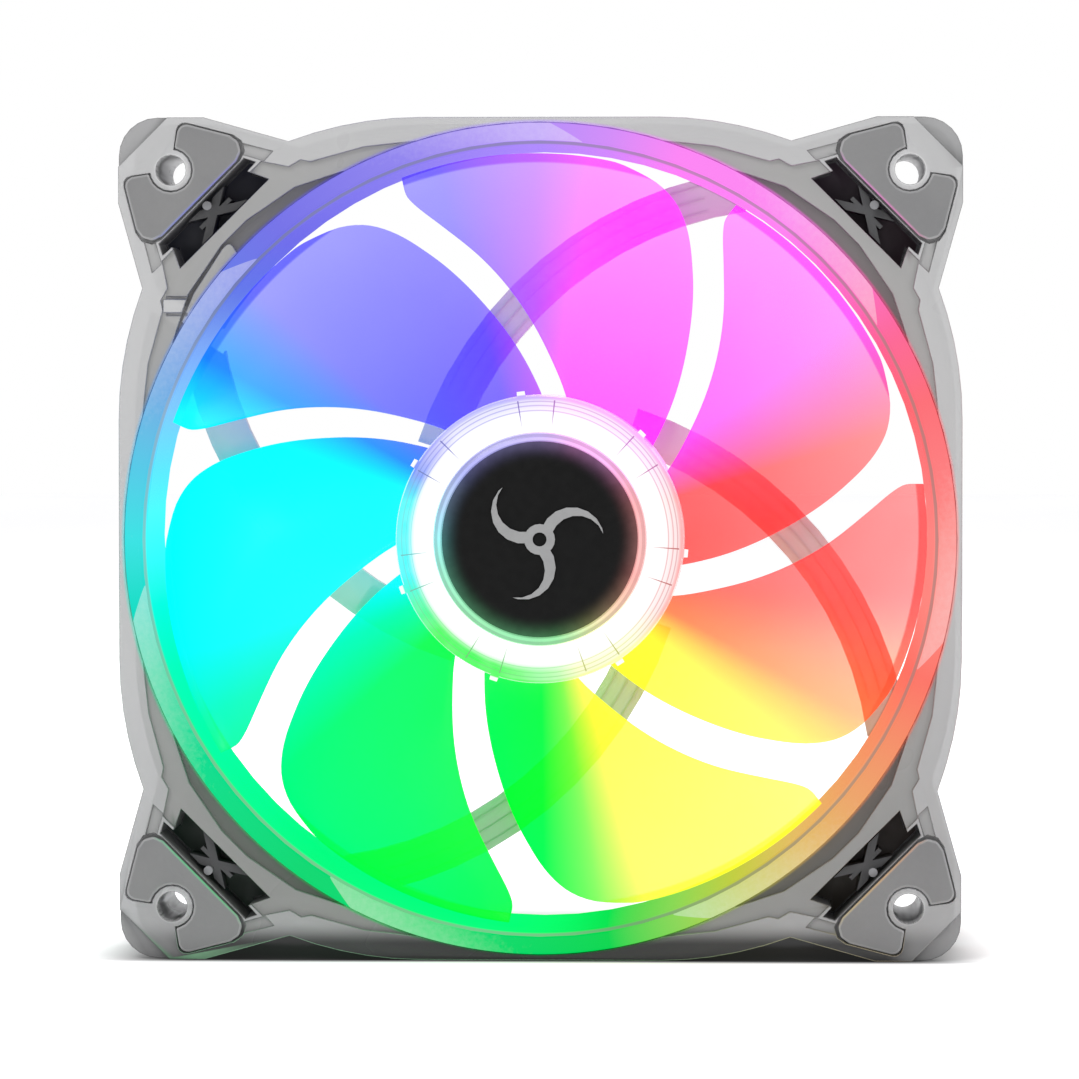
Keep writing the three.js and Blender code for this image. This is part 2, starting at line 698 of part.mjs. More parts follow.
// A plain swirl: a small ring with three curved arms, like moving air.
function emblem() {
  const front = CAP_FRONT - 0.3;
  const middle = disc(1.4, front - 1, CAP_FRONT + 1, SMALL);
  const arms = [0, 120, 240].map((degrees) => {
    const outer = arc(4.6, 180, 20, 8, [4.6, 0]);
    const inner = arc(3.9, 20, 180, 8, [5.4, -0.5]);
    return turn(prism([...outer, ...inner], front, CAP_FRONT), degrees);
  });
  return join(ring(1, 2.2, front, CAP_FRONT, SMALL), ...arms.map((one) => cut(one, middle)));
}

function rotorYoke() {
  const front = HUB_FRONT + HUB_PLATE;
  const wall = YOKE_RADIUS - YOKE_WALL;
  return turned(
    [
      [SHAFT_RADIUS + FIT, front],
      [YOKE_RADIUS - 0.8, front],
      [YOKE_RADIUS, front + 0.8],
      [YOKE_RADIUS, YOKE_REAR],
      [wall, YOKE_REAR],
      [wall, front + YOKE_WALL + 0.1],
      [SHAFT_RADIUS + 1.2, front + YOKE_WALL + 0.1],
      [SHAFT_RADIUS + 1.2, TUBE_FRONT - 0.6],
      [SHAFT_RADIUS + FIT, TUBE_FRONT - 0.6],
    ],
    MEDIUM,
  );
}

const magnetRing = () => ring(MAGNET_IN, MAGNET_OUT, -5.5, 5.5);

function shaft() {
  const neck = 1.15;
  const outline = [
    [0, HUB_FRONT + HUB_PLATE + 0.1],
    [SHAFT_RADIUS, HUB_FRONT + HUB_PLATE + 0.1],
    [SHAFT_RADIUS, CLIP_FRONT - 0.2],
    [neck, CLIP_FRONT - 0.2],
    [neck, CLIP_REAR + 0.2],
    [SHAFT_RADIUS, CLIP_REAR + 0.2],
    [SHAFT_RADIUS, SHAFT_END - 0.3],
    [SHAFT_RADIUS - 0.5, SHAFT_END],
    [0, SHAFT_END],
  ];
  return turned(outline, SMALL);
}

// ---- The whole fan ------------------------------------------------------------------------

const fan = new THREE.Group();

function add(name, solid, material) {
  const mesh = new THREE.Mesh(geometryOf(solid), material);
  mesh.name = name;
  fan.add(mesh);
}

add("housing", housing(), SMOKY);
add("light_ring", lightRing(), FROSTED);
for (const [name, corner] of Object.entries(CORNERS)) {
  add(`pad_front_${name}`, pad(corner, false), RUBBER);
  add(`pad_rear_${name}`, pad(corner, true), RUBBER);
  add(`corner_insert_${name}`, cornerInsert(corner), DARK);
}
add("cable_clip_inner", cableClip(146, 147.6), BLACK);
add("cable_clip_outer", cableClip(107, 108.6), BLACK);
add("rear_label", rearLabel(), LABEL);

add("circuit_board", circuitBoard(), BOARD);
for (let i = 0; i < LED_COUNT; i += 1) add(`led_${i + 1}`, led(i), LIGHT);
add("driver_chip", onBoard(9.6, 225, 4.9, 3.9, 1.5), BLACK);
add("hall_sensor", onBoard(13.2, 45, 2.9, 1.6, 1.3), BLACK);
add("capacitor", onBoard(9.6, 135, 3.2, 2.5, 1.8), BRONZE);
add("stator_core", statorCore(), CORE_STEEL);
add("insulator_front", insulator(-1), NYLON);
add("insulator_rear", insulator(1), NYLON);
for (let i = 0; i < POLE_COUNT; i += 1) add(`coil_${i + 1}`, coil(i), COPPER);
add("bearing_sleeve", bearingSleeve(), BRONZE);
add("oil_seal", oilSeal(), RUBBER);
add("retaining_clip", retainingClip(), STEEL);
add("thrust_pad", thrustPad(), NYLON);

add("impeller", impeller(), CLEAR);
add("hub_lens", hubLens(), FROSTED);
add("cap_ring", capRing(), SILVER);
add("hub_cap", hubCap(), BLACK);
add("emblem", emblem(), SILVER);
add("rotor_yoke", rotorYoke(), STEEL);
add("magnet_ring", magnetRing(), FERRITE);
add("shaft", shaft(), STEEL);

export default fan;
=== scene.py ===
import math

import bmesh
import bpy
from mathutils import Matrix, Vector


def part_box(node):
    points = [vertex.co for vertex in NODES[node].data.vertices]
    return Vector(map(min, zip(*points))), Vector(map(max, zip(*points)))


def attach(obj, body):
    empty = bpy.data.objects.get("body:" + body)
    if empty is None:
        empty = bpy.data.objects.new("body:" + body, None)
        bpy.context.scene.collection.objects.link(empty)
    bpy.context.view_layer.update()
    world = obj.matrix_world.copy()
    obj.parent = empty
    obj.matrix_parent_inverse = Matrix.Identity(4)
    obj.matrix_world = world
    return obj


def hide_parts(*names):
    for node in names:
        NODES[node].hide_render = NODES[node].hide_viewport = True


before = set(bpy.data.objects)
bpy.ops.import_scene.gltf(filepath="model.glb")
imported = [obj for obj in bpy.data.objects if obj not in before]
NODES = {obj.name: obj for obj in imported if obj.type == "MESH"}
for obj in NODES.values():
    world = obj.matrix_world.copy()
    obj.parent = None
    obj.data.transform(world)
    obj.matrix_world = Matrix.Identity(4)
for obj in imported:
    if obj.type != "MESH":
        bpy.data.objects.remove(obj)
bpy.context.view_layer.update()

MM = 0.001

# ---- Sizes, in millimetres, read from the frame ---------------------------------------------

X, Y = 0, 1


def span(node, axis):
    """The lowest and highest coordinate of a CAD node along one axis, in millimetres."""
    low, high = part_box(node)
    return low[axis] / MM, high[axis] / MM


def radius_of(node):
    """How far a CAD node reaches from the fan's axis, in millimetres."""
    return span(node, X)[1]


FRONT, REAR = span("housing", Y)
HALF_SIZE = radius_of("housing")
HOLE_OFFSET = 52.5  # of the screw holes' axes, in X and in Z
HOLE_RADIUS = 2.15
HOLE = (HOLE_OFFSET * MM, 0, HOLE_OFFSET * MM)  # a point on the top right hole's axis, in metres
EAR_CHAMFER = HALF_SIZE + 53  # X plus Z on the line where an ear's chamfered corner starts
RING_WIDTH = 2.4
RING_OUT = radius_of("light_ring")
RING_REAR = span("light_ring", Y)[1]
RING_IN = RING_OUT - RING_WIDTH
DUCT_WALL = 0.8  # between the ring and the duct
DUCT_RADIUS = RING_IN - DUCT_WALL
BLADE_COUNT = 7
PITCH = 360 / BLADE_COUNT
TIP_GAP = 0.8
BLADE_TIP = DUCT_RADIUS - TIP_GAP
RING_EDGE_ANGLE = 137.7  # where one of the ring's straight edges lies, in degrees
RING_EDGE = 1 - RING_EDGE_ANGLE / PITCH % 1
HUB_FRONT, HUB_REAR = span("impeller", Y)
HUB_RADIUS = 20.6
HUB_WALL = 1.4
YOKE_RADIUS = radius_of("rotor_yoke")
LENS_FRONT = span("hub_lens", Y)[0]
SEAM_START, SEAM_END = 16.2, 19.9  # the radii of the ends of the lens's seams
TRIM_RADIUS = radius_of("cap_ring")
TRIM_FRONT = span("cap_ring", Y)[0]
CAP_RADIUS = radius_of("hub_cap")
CAP_FRONT = span("hub_cap", Y)[0]
BASE_FRONT = span("circuit_board", Y)[1]

ROUND = 192  # sides of the big rounds
CORNER_STEPS = 3  # straight pieces in each rounded corner of an outline

# ---- Mesh tools -----------------------------------------------------------------------------


def polar(radius, degrees):
    """X and Z of a point at this radius and angle round the fan's axis, from +X towards +Z."""
    angle = math.radians(degrees)
    return radius * math.cos(angle), radius * math.sin(angle)


def piece(name, vertices, faces, body, slot, material, replaces=(), smooth=40):
    """A new piece from points in millimetres and faces, riding on a body."""
    mesh = bpy.data.meshes.new(name)
    mesh.from_pydata([(x * MM, y * MM, z * MM) for x, y, z in vertices], [], faces)
    tidy = bmesh.new()
    tidy.from_mesh(mesh)
    bmesh.ops.remove_doubles(tidy, verts=tidy.verts, dist=1e-7)
    bmesh.ops.recalc_face_normals(tidy, faces=tidy.faces)
    tidy.to_mesh(mesh)
    tidy.free()
    mesh.materials.append(material)
    obj = bpy.data.objects.new(name, mesh)
    bpy.context.scene.collection.objects.link(obj)
    shade(mesh, smooth)
    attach(obj, body)
    if replaces:
        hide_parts(*replaces)


def shade(mesh, degrees):
    """Smooth shading, with edges sharper than this angle kept crisp."""
    for polygon in mesh.polygons:
        polygon.use_smooth = True
    mesh.set_sharp_from_angle(angle=math.radians(degrees))


def lathe(outline):
    """Points and faces of a closed outline in (radius, y), turned about the fan's axis."""
    count = len(outline)
    vertices = []
    for i in range(ROUND):
        for radius, y in outline:
            x, z = polar(radius, 360 * i / ROUND)
            vertices.append((x, y, z))
    faces = []
    for i in range(ROUND):
        a = i * count
        b = (i + 1) % ROUND * count
        for j in range(count):
            k = (j + 1) % count
            if outline[j][0] == 0 and outline[k][0] == 0:
                continue
            faces.append([a + j, a + k, b + k, b + j])
    return vertices, faces


def rounded_outline(corners):
    """Corners (radius, y, rounding) of an outline, with each one rounded off."""
    points = []
    for i, (r, y, rounding) in enumerate(corners):
        here = Vector((r, y))
        if rounding == 0:
            points.append((r, y))
            continue
        back = Vector(corners[i - 1][:2]) - here
        on = Vector(corners[(i + 1) % len(corners)][:2]) - here
        start = here + back.normalized() * rounding
        end = here + on.normalized() * rounding
        for s in range(CORNER_STEPS + 1):
            t = s / CORNER_STEPS
            p = start * (1 - t) ** 2 + here * 2 * t * (1 - t) + end * t * t
            points.append((p.x, p.y))
    return points


def prism(outline, y_front, y_rear):
    """Points and faces of an outline in (x, z) drawn out along Y."""
    count = len(outline)
    vertices = [(x, y, z) for y in (y_front, y_rear) for x, z in outline]
    faces = [list(range(count)), list(range(2 * count - 1, count - 1, -1))]
    for i in range(count):
        j = (i + 1) % count
        faces.append([i, j, j + count, i + count])
    return vertices, faces


def joined(parts):
    """The points and faces of several parts as one."""
    vertices, faces = [], []
    for part_vertices, part_faces in parts:
        offset = len(vertices)
        vertices.extend(part_vertices)
        faces.extend([[offset + i for i in face] for face in part_faces])
    return vertices, faces


def turned(part, degrees):
    """A part's points and faces, turned about the fan's axis."""
    vertices, faces = part
    c, s = polar(1, degrees)
    return [(x * c - z * s, y, x * s + z * c) for x, y, z in vertices], faces


# ---- Material tools -------------------------------------------------------------------------

BUMP_DEPTH = 0.0002  # in metres


class Nodes:
    """A material's node tree, with short calls to add nodes and join them."""

    def __init__(self, name):
        self.material = bpy.data.materials.new(name)
        self.material.use_nodes = True
        self.tree = self.material.node_tree
        self.tree.nodes.clear()
        self.output = self.add("ShaderNodeOutputMaterial")

    def add(self, kind, inputs=None, **settings):
        """A new node, with its inputs by number or name and its settings."""
        node = self.tree.nodes.new(kind)
        for key, value in settings.items():
            setattr(node, key, value)
        for key, value in (inputs or {}).items():
            self.set(node.inputs[key], value)
        return node

    def set(self, socket, value):
        """Joins a socket to another node's output, or gives it a plain value."""
        if isinstance(value, bpy.types.NodeSocket):
            self.tree.links.new(value, socket)
        else:
            socket.default_value = value

    def math(self, operation, a, b=0.0, clamp=False):
        """A sum or other operation on one or two values, held to 0..1 if clamp is set."""
        node = self.add("ShaderNodeMath", {0: a, 1: b}, operation=operation)
        node.use_clamp = clamp
        return node.outputs[0]

    def band(self, value, low, high, out_low=0.0, out_high=1.0):
        """value mapped smoothly from low..high to out_low..out_high, and held outside it."""
        node = self.add(
            "ShaderNodeMapRange",
            {0: value, 1: low, 2: high, 3: out_low, 4: out_high},
            interpolation_type="SMOOTHSTEP",
        )
        return node.outputs[0]

    def ramp(self, value, stops):
        """A colour for each value, from stops of (value, colour)."""
        node = self.add("ShaderNodeValToRGB", {0: value})
        ramp = node.color_ramp
        while len(ramp.elements) < len(stops):
            ramp.elements.new(0.5)
        for element, (at, _) in zip(ramp.elements, stops):
            element.position = at
        for element, (_, color) in zip(ramp.elements, stops):
            element.color = (*color, 1)
        return node.outputs[0]

    def mix(self, factor, a, b):
        """Two colours mixed: a where factor is 0, b where it is 1."""
        node = self.add("ShaderNodeMix", data_type="RGBA")
        self.set(node.inputs[0], factor)
        self.set(node.inputs[6], a)
        self.set(node.inputs[7], b)
        return node.outputs[2]

    def noise(self, scale, detail=3.0, roughness=0.55, vector=None):
        """Noise from 0 to 1, over the object's own place unless another vector is given."""
        inputs = {"Scale": scale, "Detail": detail, "Roughness": roughness}
        node = self.add("ShaderNodeTexNoise", inputs)
        self.set(node.inputs["Vector"], vector or self.object_place())
        return node.outputs["Fac"]

    def object_place(self):
        return self.add("ShaderNodeTexCoord").outputs["Object"]

    def bump(self, height, strength):
        """A normal roughened by a height from 0 to 1."""
        inputs = {"Height": height, "Strength": strength, "Distance": BUMP_DEPTH}
        return self.add("ShaderNodeBump", inputs).outputs[0]

    def principled(self, **sockets):
        """A Principled shader, with its sockets by name, _ standing for a space."""
        inputs = {key.replace("_", " "): value for key, value in sockets.items()}
        return self.add("ShaderNodeBsdfPrincipled", inputs)

    def edges(self):
        """1 on the rounded edges between a face that looks along the axis and a side wall."""
        normal = self.add("ShaderNodeNewGeometry").outputs["True Normal"]
        parts = self.add("ShaderNodeSeparateXYZ", {0: normal}).outputs
        along = self.math("ABSOLUTE", parts[1])
        return self.math("MULTIPLY", self.band(along, 0.1, 0.3), self.band(along, 0.985, 0.94))

    def creases(self, reach):
        """1 within this many millimetres of an edge, and 0 on the faces between."""
        soft = self.add("ShaderNodeBevel", {"Radius": reach * MM}, samples=6).outputs[0]
        flat = self.add("ShaderNodeNewGeometry").outputs["True Normal"]
        same = self.add("ShaderNodeVectorMath", {0: soft, 1: flat}, operation="DOT_PRODUCT")
        return self.band(same.outputs["Value"], 0.985, 0.90)

    def from_holes(self):
        """The distance from the nearest screw hole's axis, in millimetres."""
        place = self.add("ShaderNodeNewGeometry").outputs["Position"]
        near = self.add("ShaderNodeVectorMath", {0: place}, operation="ABSOLUTE").outputs[0]
        off = self.add("ShaderNodeVectorMath", {0: near, 1: HOLE}, operation="SUBTRACT")
        inputs = {0: off.outputs[0], 1: (1, 0, 1)}
        flat = self.add("ShaderNodeVectorMath", inputs, operation="MULTIPLY")
        length = self.add("ShaderNodeVectorMath", {0: flat.outputs[0]}, operation="LENGTH")
        return self.math("DIVIDE", length.outputs["Value"], MM)

    def height(self):
        """A point's Z, and how far it lies from the middle plane in X, in millimetres."""
        place = self.add("ShaderNodeNewGeometry").outputs["Position"]
        parts = self.add("ShaderNodeSeparateXYZ", {0: place}).outputs
        across = self.math("ABSOLUTE", self.math("DIVIDE", parts[0], MM))
        return self.math("DIVIDE", parts[2], MM), across

    def around(self):
        """How far round the fan's axis a point is, from 0 to 1, its distance from the axis and its
        Y, in millimetres. It goes by the place in the world, so it doesn't turn with the rotor."""
        place = self.add("ShaderNodeNewGeometry").outputs["Position"]
        parts = self.add("ShaderNodeSeparateXYZ", {0: place}).outputs
        angle = self.math("ARCTAN2", parts[2], parts[0])
        turn = self.math("FRACT", self.math("ADD", self.math("DIVIDE", angle, 2 * math.pi), 1.0))
        flat = self.add("ShaderNodeCombineXYZ", {0: parts[0], 1: parts[2]}).outputs[0]
        length = self.add("ShaderNodeVectorMath", {0: flat}, operation="LENGTH")
        radius = self.math("DIVIDE", length.outputs["Value"], MM)
        return turn, radius, self.math("DIVIDE", parts[1], MM)

    def wobble(self, noise, amount):
        """A noise turned into a small change either way, this wide in all."""
        return self.math("MULTIPLY", self.math("SUBTRACT", noise, 0.5), amount)

    def line_at(self, value, at, outer, inner):
        """1 where value is within inner of at, and 0 beyond outer."""
        off = self.math("ABSOLUTE", self.math("SUBTRACT", value, at))
        return self.band(off, outer, inner)

    def mix_shaders(self, factor, first, second):
        """Two shader nodes mixed: the first where factor is 0, the second where it is 1."""
        sockets = {0: factor, 1: first.outputs[0], 2: second.outputs[0]}
        return self.add("ShaderNodeMixShader", sockets)

    def finish(self, shader):
        self.tree.links.new(shader.outputs[0], self.output.inputs[0])
        return self.material


# The six LEDs' hues, by angle in degrees from +X towards +Z, in linear light: wide fields of one
# colour with quicker changes between them.
HUES = [
    (0, (1.0, 0.02, 0.02)),
    (17, (1.0, 0.02, 0.03)),
    (34, (1.0, 0.02, 0.74)),
    (45, (1.0, 0.02, 1.0)),
    (78, (1.0, 0.02, 1.0)),
    (91, (0.40, 0.03, 1.0)),
    (106, (0.08, 0.04, 1.0)),
    (140, (0.04, 0.05, 1.0)),
    (152, (0.0, 0.16, 0.95)),
    (164, (0.0, 1.0, 1.0)),
    (195, (0.0, 1.0, 1.0)),
    (208, (0.0, 1.0, 0.38)),
    (222, (0.0, 1.0, 0.06)),
    (270, (0.0, 1.0, 0.03)),
    (278, (0.16, 1.0, 0.03)),
    (287, (0.92, 1.0, 0.03)),
    (312, (1.0, 1.0, 0.03)),
    (320, (1.0, 0.66, 0.03)),
    (330, (1.0, 0.10, 0.03)),
    (345, (1.0, 0.03, 0.02)),
    (360, (1.0, 0.02, 0.02)),
]
HUE_STOPS = [(degrees / 360, color) for degrees, color in HUES]
# What the lit plastic lets through: the cyan and green fields swallow red, the green and yellow
# fields some of the blue.
PASS_STOPS = [
    (0 / 360, (1, 1, 1)),
    (140 / 360, (1, 1, 1)),
    (162 / 360, (0.02, 1, 1)),
    (224 / 360, (0.01, 1, 0.62)),
    (245 / 360, (0.01, 1, 0.58)),
    (270 / 360, (0.01, 1, 0.42)),
    (286 / 360, (1, 1, 0.62)),
    (325 / 360, (1, 1, 0.68)),
    (350 / 360, (1, 1, 1)),
]
# The frosted ring mixes neighbouring lights, so its hues are softer and change later.
RING_HUES = [
    (0, (1.0, 0.26, 0.24)),
    (20, (1.0, 0.16, 0.19)),
    (30, (1.0, 0.14, 0.32)),
    (42, (1.0, 0.17, 0.64)),
    (52, (1.0, 0.25, 0.88)),
    (70, (1.0, 0.24, 0.93)),
    (80, (0.66, 0.27, 0.96)),
    (90, (0.46, 0.28, 0.97)),
    (110, (0.29, 0.24, 0.88)),
    (130, (0.18, 0.17, 0.82)),
    (140, (0.14, 0.20, 0.82)),
    (150, (0.19, 0.35, 0.79)),
    (160, (0.17, 0.44, 0.79)),
    (170, (0.09, 0.60, 0.82)),
    (180, (0.04, 0.78, 0.79)),
    (190, (0.0, 0.73, 0.56)),
    (200, (0.0, 0.71, 0.38)),
    (220, (0.0, 0.74, 0.24)),
    (235, (0.0, 0.70, 0.17)),
    (262, (0.0, 0.72, 0.16)),
    (280, (0.0, 0.69, 0.08)),
    (290, (0.27, 0.69, 0.10)),
    (300, (0.56, 0.62, 0.06)),
    (310, (0.77, 0.53, 0.14)),
    (320, (0.86, 0.39, 0.15)),
    (340, (1.0, 0.18, 0.14)),
    (350, (1.0, 0.26, 0.23)),
    (360, (1.0, 0.26, 0.24)),
]
RING_STOPS = [(degrees / 360, color) for degrees, color in RING_HUES]

# ---- Materials ------------------------------------------------------------------------------

WHITE = (1, 1, 1, 1)


def grey(level):
    """A grey of this lightness, in linear light."""
    return (level, level, level, 1)


def blade_material():
    """Clear plastic that carries the LEDs' light: it glows in their hues, more thinly towards the
    tips, and lets what is behind it show through."""
    n = Nodes("clear_blade_glow")
    turn, radius, _ = n.around()
    grain = n.noise(90, 2)
    thinning = n.math("MULTIPLY", n.math("SUBTRACT", radius, 24.0), 0.0072)
    through = n.math("ADD", n.math("ADD", 0.35, thinning), n.wobble(grain, 0.03), True)
    tip = n.band(radius, BLADE_TIP - 1.3, BLADE_TIP - 0.9)
    through = n.math("MULTIPLY", through, n.math("SUBTRACT", 1.0, n.math("MULTIPLY", tip, 0.45)))
    hue = n.ramp(turn, HUE_STOPS)
    body = n.principled(
        Base_Color=n.mix(0.85, hue, grey(0.02)),
        Roughness=n.band(grain, 0.3, 0.7, 0.16, 0.26),
        Emission_Color=hue,
        Emission_Strength=1.18,
        IOR=1.2,
        Normal=n.bump(n.noise(260, 2), 0.05),
    )
    clear = n.add("ShaderNodeBsdfTransparent", {0: n.ramp(turn, PASS_STOPS)})
    return n.finish(n.mix_shaders(through, body, clear))


# The frame's tones, by depth as a share of its whole depth, with painted shade on the lower
# steps: lightest on the raised front, darker on each lower step, darkest between the flanges and
# light again on the rear flange.
SMOKY_SHADED_TONES = [
    (0.008, (0.520, 0.520, 0.520)),
    (0.013, (0.430, 0.430, 0.425)),
    (0.022, (0.430, 0.430, 0.425)),
    (0.026, (0.380, 0.380, 0.370)),
    (0.032, (0.380, 0.380, 0.370)),
    (0.040, (0.350, 0.350, 0.350)),
    (0.056, (0.330, 0.330, 0.330)),
    (0.064, (0.175, 0.172, 0.162)),
    (0.300, (0.100, 0.100, 0.105)),
    (0.850, (0.200, 0.200, 0.205)),
    (0.960, (0.450, 0.450, 0.455)),
]
EDGE_REACH = 0.16  # how far the painted dark lines of shade reach from an edge
FLOOR_SHADE = (-54.2, -57.8)  # the heights between which painted shade darkens the frame towards the floor


def painted_floor_shade(n):
    """Painted shade near the floor: 1 along the frame's bottom, less under the ears, and 0 on their
    chamfered corners.
    """
    height, across = n.height()
    outwards = n.math("SUBTRACT", across, height)
    before_chamfer = n.band(outwards, EAR_CHAMFER + 0.1, EAR_CHAMFER - 0.3)
    reach = n.math("MULTIPLY", before_chamfer, n.band(across, 49.0, 54.0, 1.0, 0.55))
    return n.math("MULTIPLY", n.band(height, *FLOOR_SHADE), reach)


def smoky_tone_and_painted_light(n, cloud, low):
    """The frame's colour with painted light and shade: its tone by depth with painted shade on the
    lower steps, painted light paler in the duct and the screw holes, painted shade darker further
    down, the ring's painted light beside the lit ring and painted shade as dark lines along its
    edges."""
    turn, radius, depth = n.around()
    height, _ = n.height()
    ring_hue = n.ramp(turn, RING_STOPS)
    share = n.math("DIVIDE", n.math("SUBTRACT", depth, FRONT - 0.1), REAR - FRONT)
    # Painted shade by depth: darker on each lower step and darkest between the flanges.
    tone = n.ramp(share, SMOKY_SHADED_TONES)
    # Painted light: paler inside the duct, on the arms and the motor's base.
    inside = n.band(radius, DUCT_RADIUS - 0.1, DUCT_RADIUS - 0.5)
    tone = n.mix(inside, tone, (0.68, 0.68, 0.66, 1))
    # Painted light: paler in the screw holes towards the rear.
    in_hole = n.band(n.from_holes(), HOLE_RADIUS + 0.3, HOLE_RADIUS + 0.1)
    painted_bore_light = n.math("MULTIPLY", in_hole, n.band(depth, REAR - 0.6, REAR - 1.2))
    tone = n.mix(painted_bore_light, tone, grey(0.62))
    tone = n.mix(n.band(cloud, 0.35, 0.65, 0.0, 0.06), tone, (0.42, 0.42, 0.44, 1))
    # Painted shade: darker towards the bottom.
    tone = n.mix(n.band(height, 20.0, -62.0, 0.0, 0.24), tone, grey(0.05))
    # Painted light: the ring's hue on the frame beside the lit ring.
    past_ring = n.band(radius, RING_OUT + 0.6, RING_OUT + 0.1)
    beside = n.math("MULTIPLY", past_ring, n.band(radius, RING_IN + 0.7, RING_IN + 1.7))
    tone = n.mix(n.math("MULTIPLY", beside, 0.6), tone, ring_hue)
    # Painted shade near the floor: almost black along the bottom.
    tone = n.mix(n.math("MULTIPLY", low, 0.95), tone, grey(0.016))
    # Painted shade as dark lines along the edges, tinted with the ring's painted light nearer the
    # ring; near the floor the lines become a pale painted highlight in the ring's hue.
    line = n.mix(n.band(radius, 68.5, 64.0, 0.0, 0.16), grey(0.035), ring_hue)
    floor_rim_highlight = n.mix(0.55, ring_hue, (0.60, 0.60, 0.56, 1))
    line = n.mix(n.math("MULTIPLY", low, 0.85), line, floor_rim_highlight)
    clear_of_ring = n.band(radius, RING_OUT + 0.2, RING_OUT + 0.7, 0.0, 0.85)
    return n.mix(n.math("MULTIPLY", n.creases(EDGE_REACH), clear_of_ring), tone, line)


def lit_duct(n, cloud):
    """1 on the duct's wall, and the shader of the wall: the LEDs' light painted on as a glow, with
    fine darker lines painted round it, greyer on the lip in front."""
    turn, radius, depth = n.around()
    ring_hue = n.ramp(turn, RING_STOPS)
    mouth = n.band(radius, RING_IN + 0.5, RING_IN + 0.2)
    wall = n.math("MULTIPLY", n.band(radius, DUCT_RADIUS - 0.25, DUCT_RADIUS - 0.15), mouth)
    in_front = n.band(depth, FRONT + 0.5, FRONT + 0.2)
    lip = n.math("MULTIPLY", in_front, n.band(radius, DUCT_RADIUS + 0.05, DUCT_RADIUS + 0.3))
    step = n.math("ADD", n.math("MULTIPLY", depth, 0.85), n.math("MULTIPLY", cloud, 0.3))
    lines = n.band(n.math("FRACT", step), 0.72, 0.92)
    deep = n.add("ShaderNodeGamma", {0: ring_hue, 1: 1.7}).outputs[0]
    rich = n.mix(n.math("MULTIPLY", lines, 0.85), ring_hue, deep)
    lets_red = n.add("ShaderNodeSeparateColor", {0: n.ramp(turn, PASS_STOPS)}).outputs[0]
    gain = n.band(lets_red, 0.0, 1.0, 1.42, 1.0)
    glow = n.mix(n.math("MULTIPLY", lip, 0.5), rich, (0.30, 0.33, 0.30, 1))
    shader = n.principled(
        Base_Color=n.mix(0.97, glow, grey(0.004)),
        Roughness=n.band(cloud, 0.3, 0.7, 0.55, 0.7),
        Specular_IOR_Level=0.0,
        Emission_Color=glow,
        Emission_Strength=n.math("MULTIPLY", gain, n.band(lip, 0.0, 1.0, 1.0, 0.8)),
    )
    return wall, shader


def smoky_material():
    """The frame's smoky see-through plastic, with painted light and shade, and the LEDs' light
    painted on the duct's wall.
    """
    n = Nodes("smoky_plastic")
    cloud = n.noise(40, 3)
    # Painted shade along the frame's bottom.
    low = painted_floor_shade(n)
    wall, lit_wall = lit_duct(n, cloud)
    body = n.principled(
        Base_Color=smoky_tone_and_painted_light(n, cloud, low),
        Roughness=n.band(cloud, 0.3, 0.7, 0.26, 0.38),
        Specular_IOR_Level=0.35,
        Normal=n.bump(n.noise(500, 2), 0.04),
    )
    clear = n.add("ShaderNodeBsdfTransparent", {0: (0.80, 0.80, 0.81, 1)})
    # Less see-through where the painted floor shade lies, and not at all on the duct's painted
    # glow.
    solid = n.math("MAXIMUM", n.math("MULTIPLY", low, 0.8), wall)
    amount = n.math("MULTIPLY", 0.3, n.math("SUBTRACT", 1.0, solid))
    return n.finish(n.mix_shaders(amount, n.mix_shaders(wall, body, lit_wall), clear))


def ring_material():
    """The frosted ring: the LEDs' light it catches is painted on as a glow, paler after each
    straight edge and richer before the next."""
    n = Nodes("frosted_ring")
    turn, radius, _ = n.around()
    slant = n.math("MULTIPLY", n.math("SUBTRACT", radius, (RING_IN + RING_OUT) / 2), 0.038)
    rounds = n.math("SUBTRACT", n.math("MULTIPLY", turn, BLADE_COUNT), slant)
    saw = n.math("FRACT", n.math("ADD", rounds, 1 + RING_EDGE))
    grain = n.noise(1300, 2, 0.7)
    cloud = n.noise(50, 2)
    # Painted light: paler after each straight edge and richer before the next, with a frosted grain
    # over it.
    sector_light_and_frost = n.math("ADD", n.band(saw, 0.0, 0.62, 0.27, -0.03), n.wobble(grain, 0.16))
    sector_light_and_frost = n.math("ADD", sector_light_and_frost, n.wobble(cloud, 0.06), True)
    color = n.mix(sector_light_and_frost, n.ramp(turn, RING_STOPS), WHITE)
    return n.finish(
        n.principled(
            Base_Color=n.mix(0.97, color, grey(0.004)),
            Roughness=0.7,
            Specular_IOR_Level=0.04,
            Emission_Color=color,
            Emission_Strength=0.94,
            Normal=n.bump(grain, 0.35),
        )
    )


# How strongly the LEDs tint the lens's rim, by share of a turn: most in the cyan and green fields.
RIM_TINTS = [
    (0.00, (0.22, 0.22, 0.22)),
    (0.36, (0.22, 0.22, 0.22)),
    (0.44, (1.0, 1.0, 1.0)),
    (0.70, (1.0, 1.0, 1.0)),
    (0.80, (0.40, 0.40, 0.40)),
    (0.92, (0.22, 0.22, 0.22)),
]
LENS_CIRCLES = (18.35, 19.05, 19.65)  # the radii of the thin circles moulded in the lens


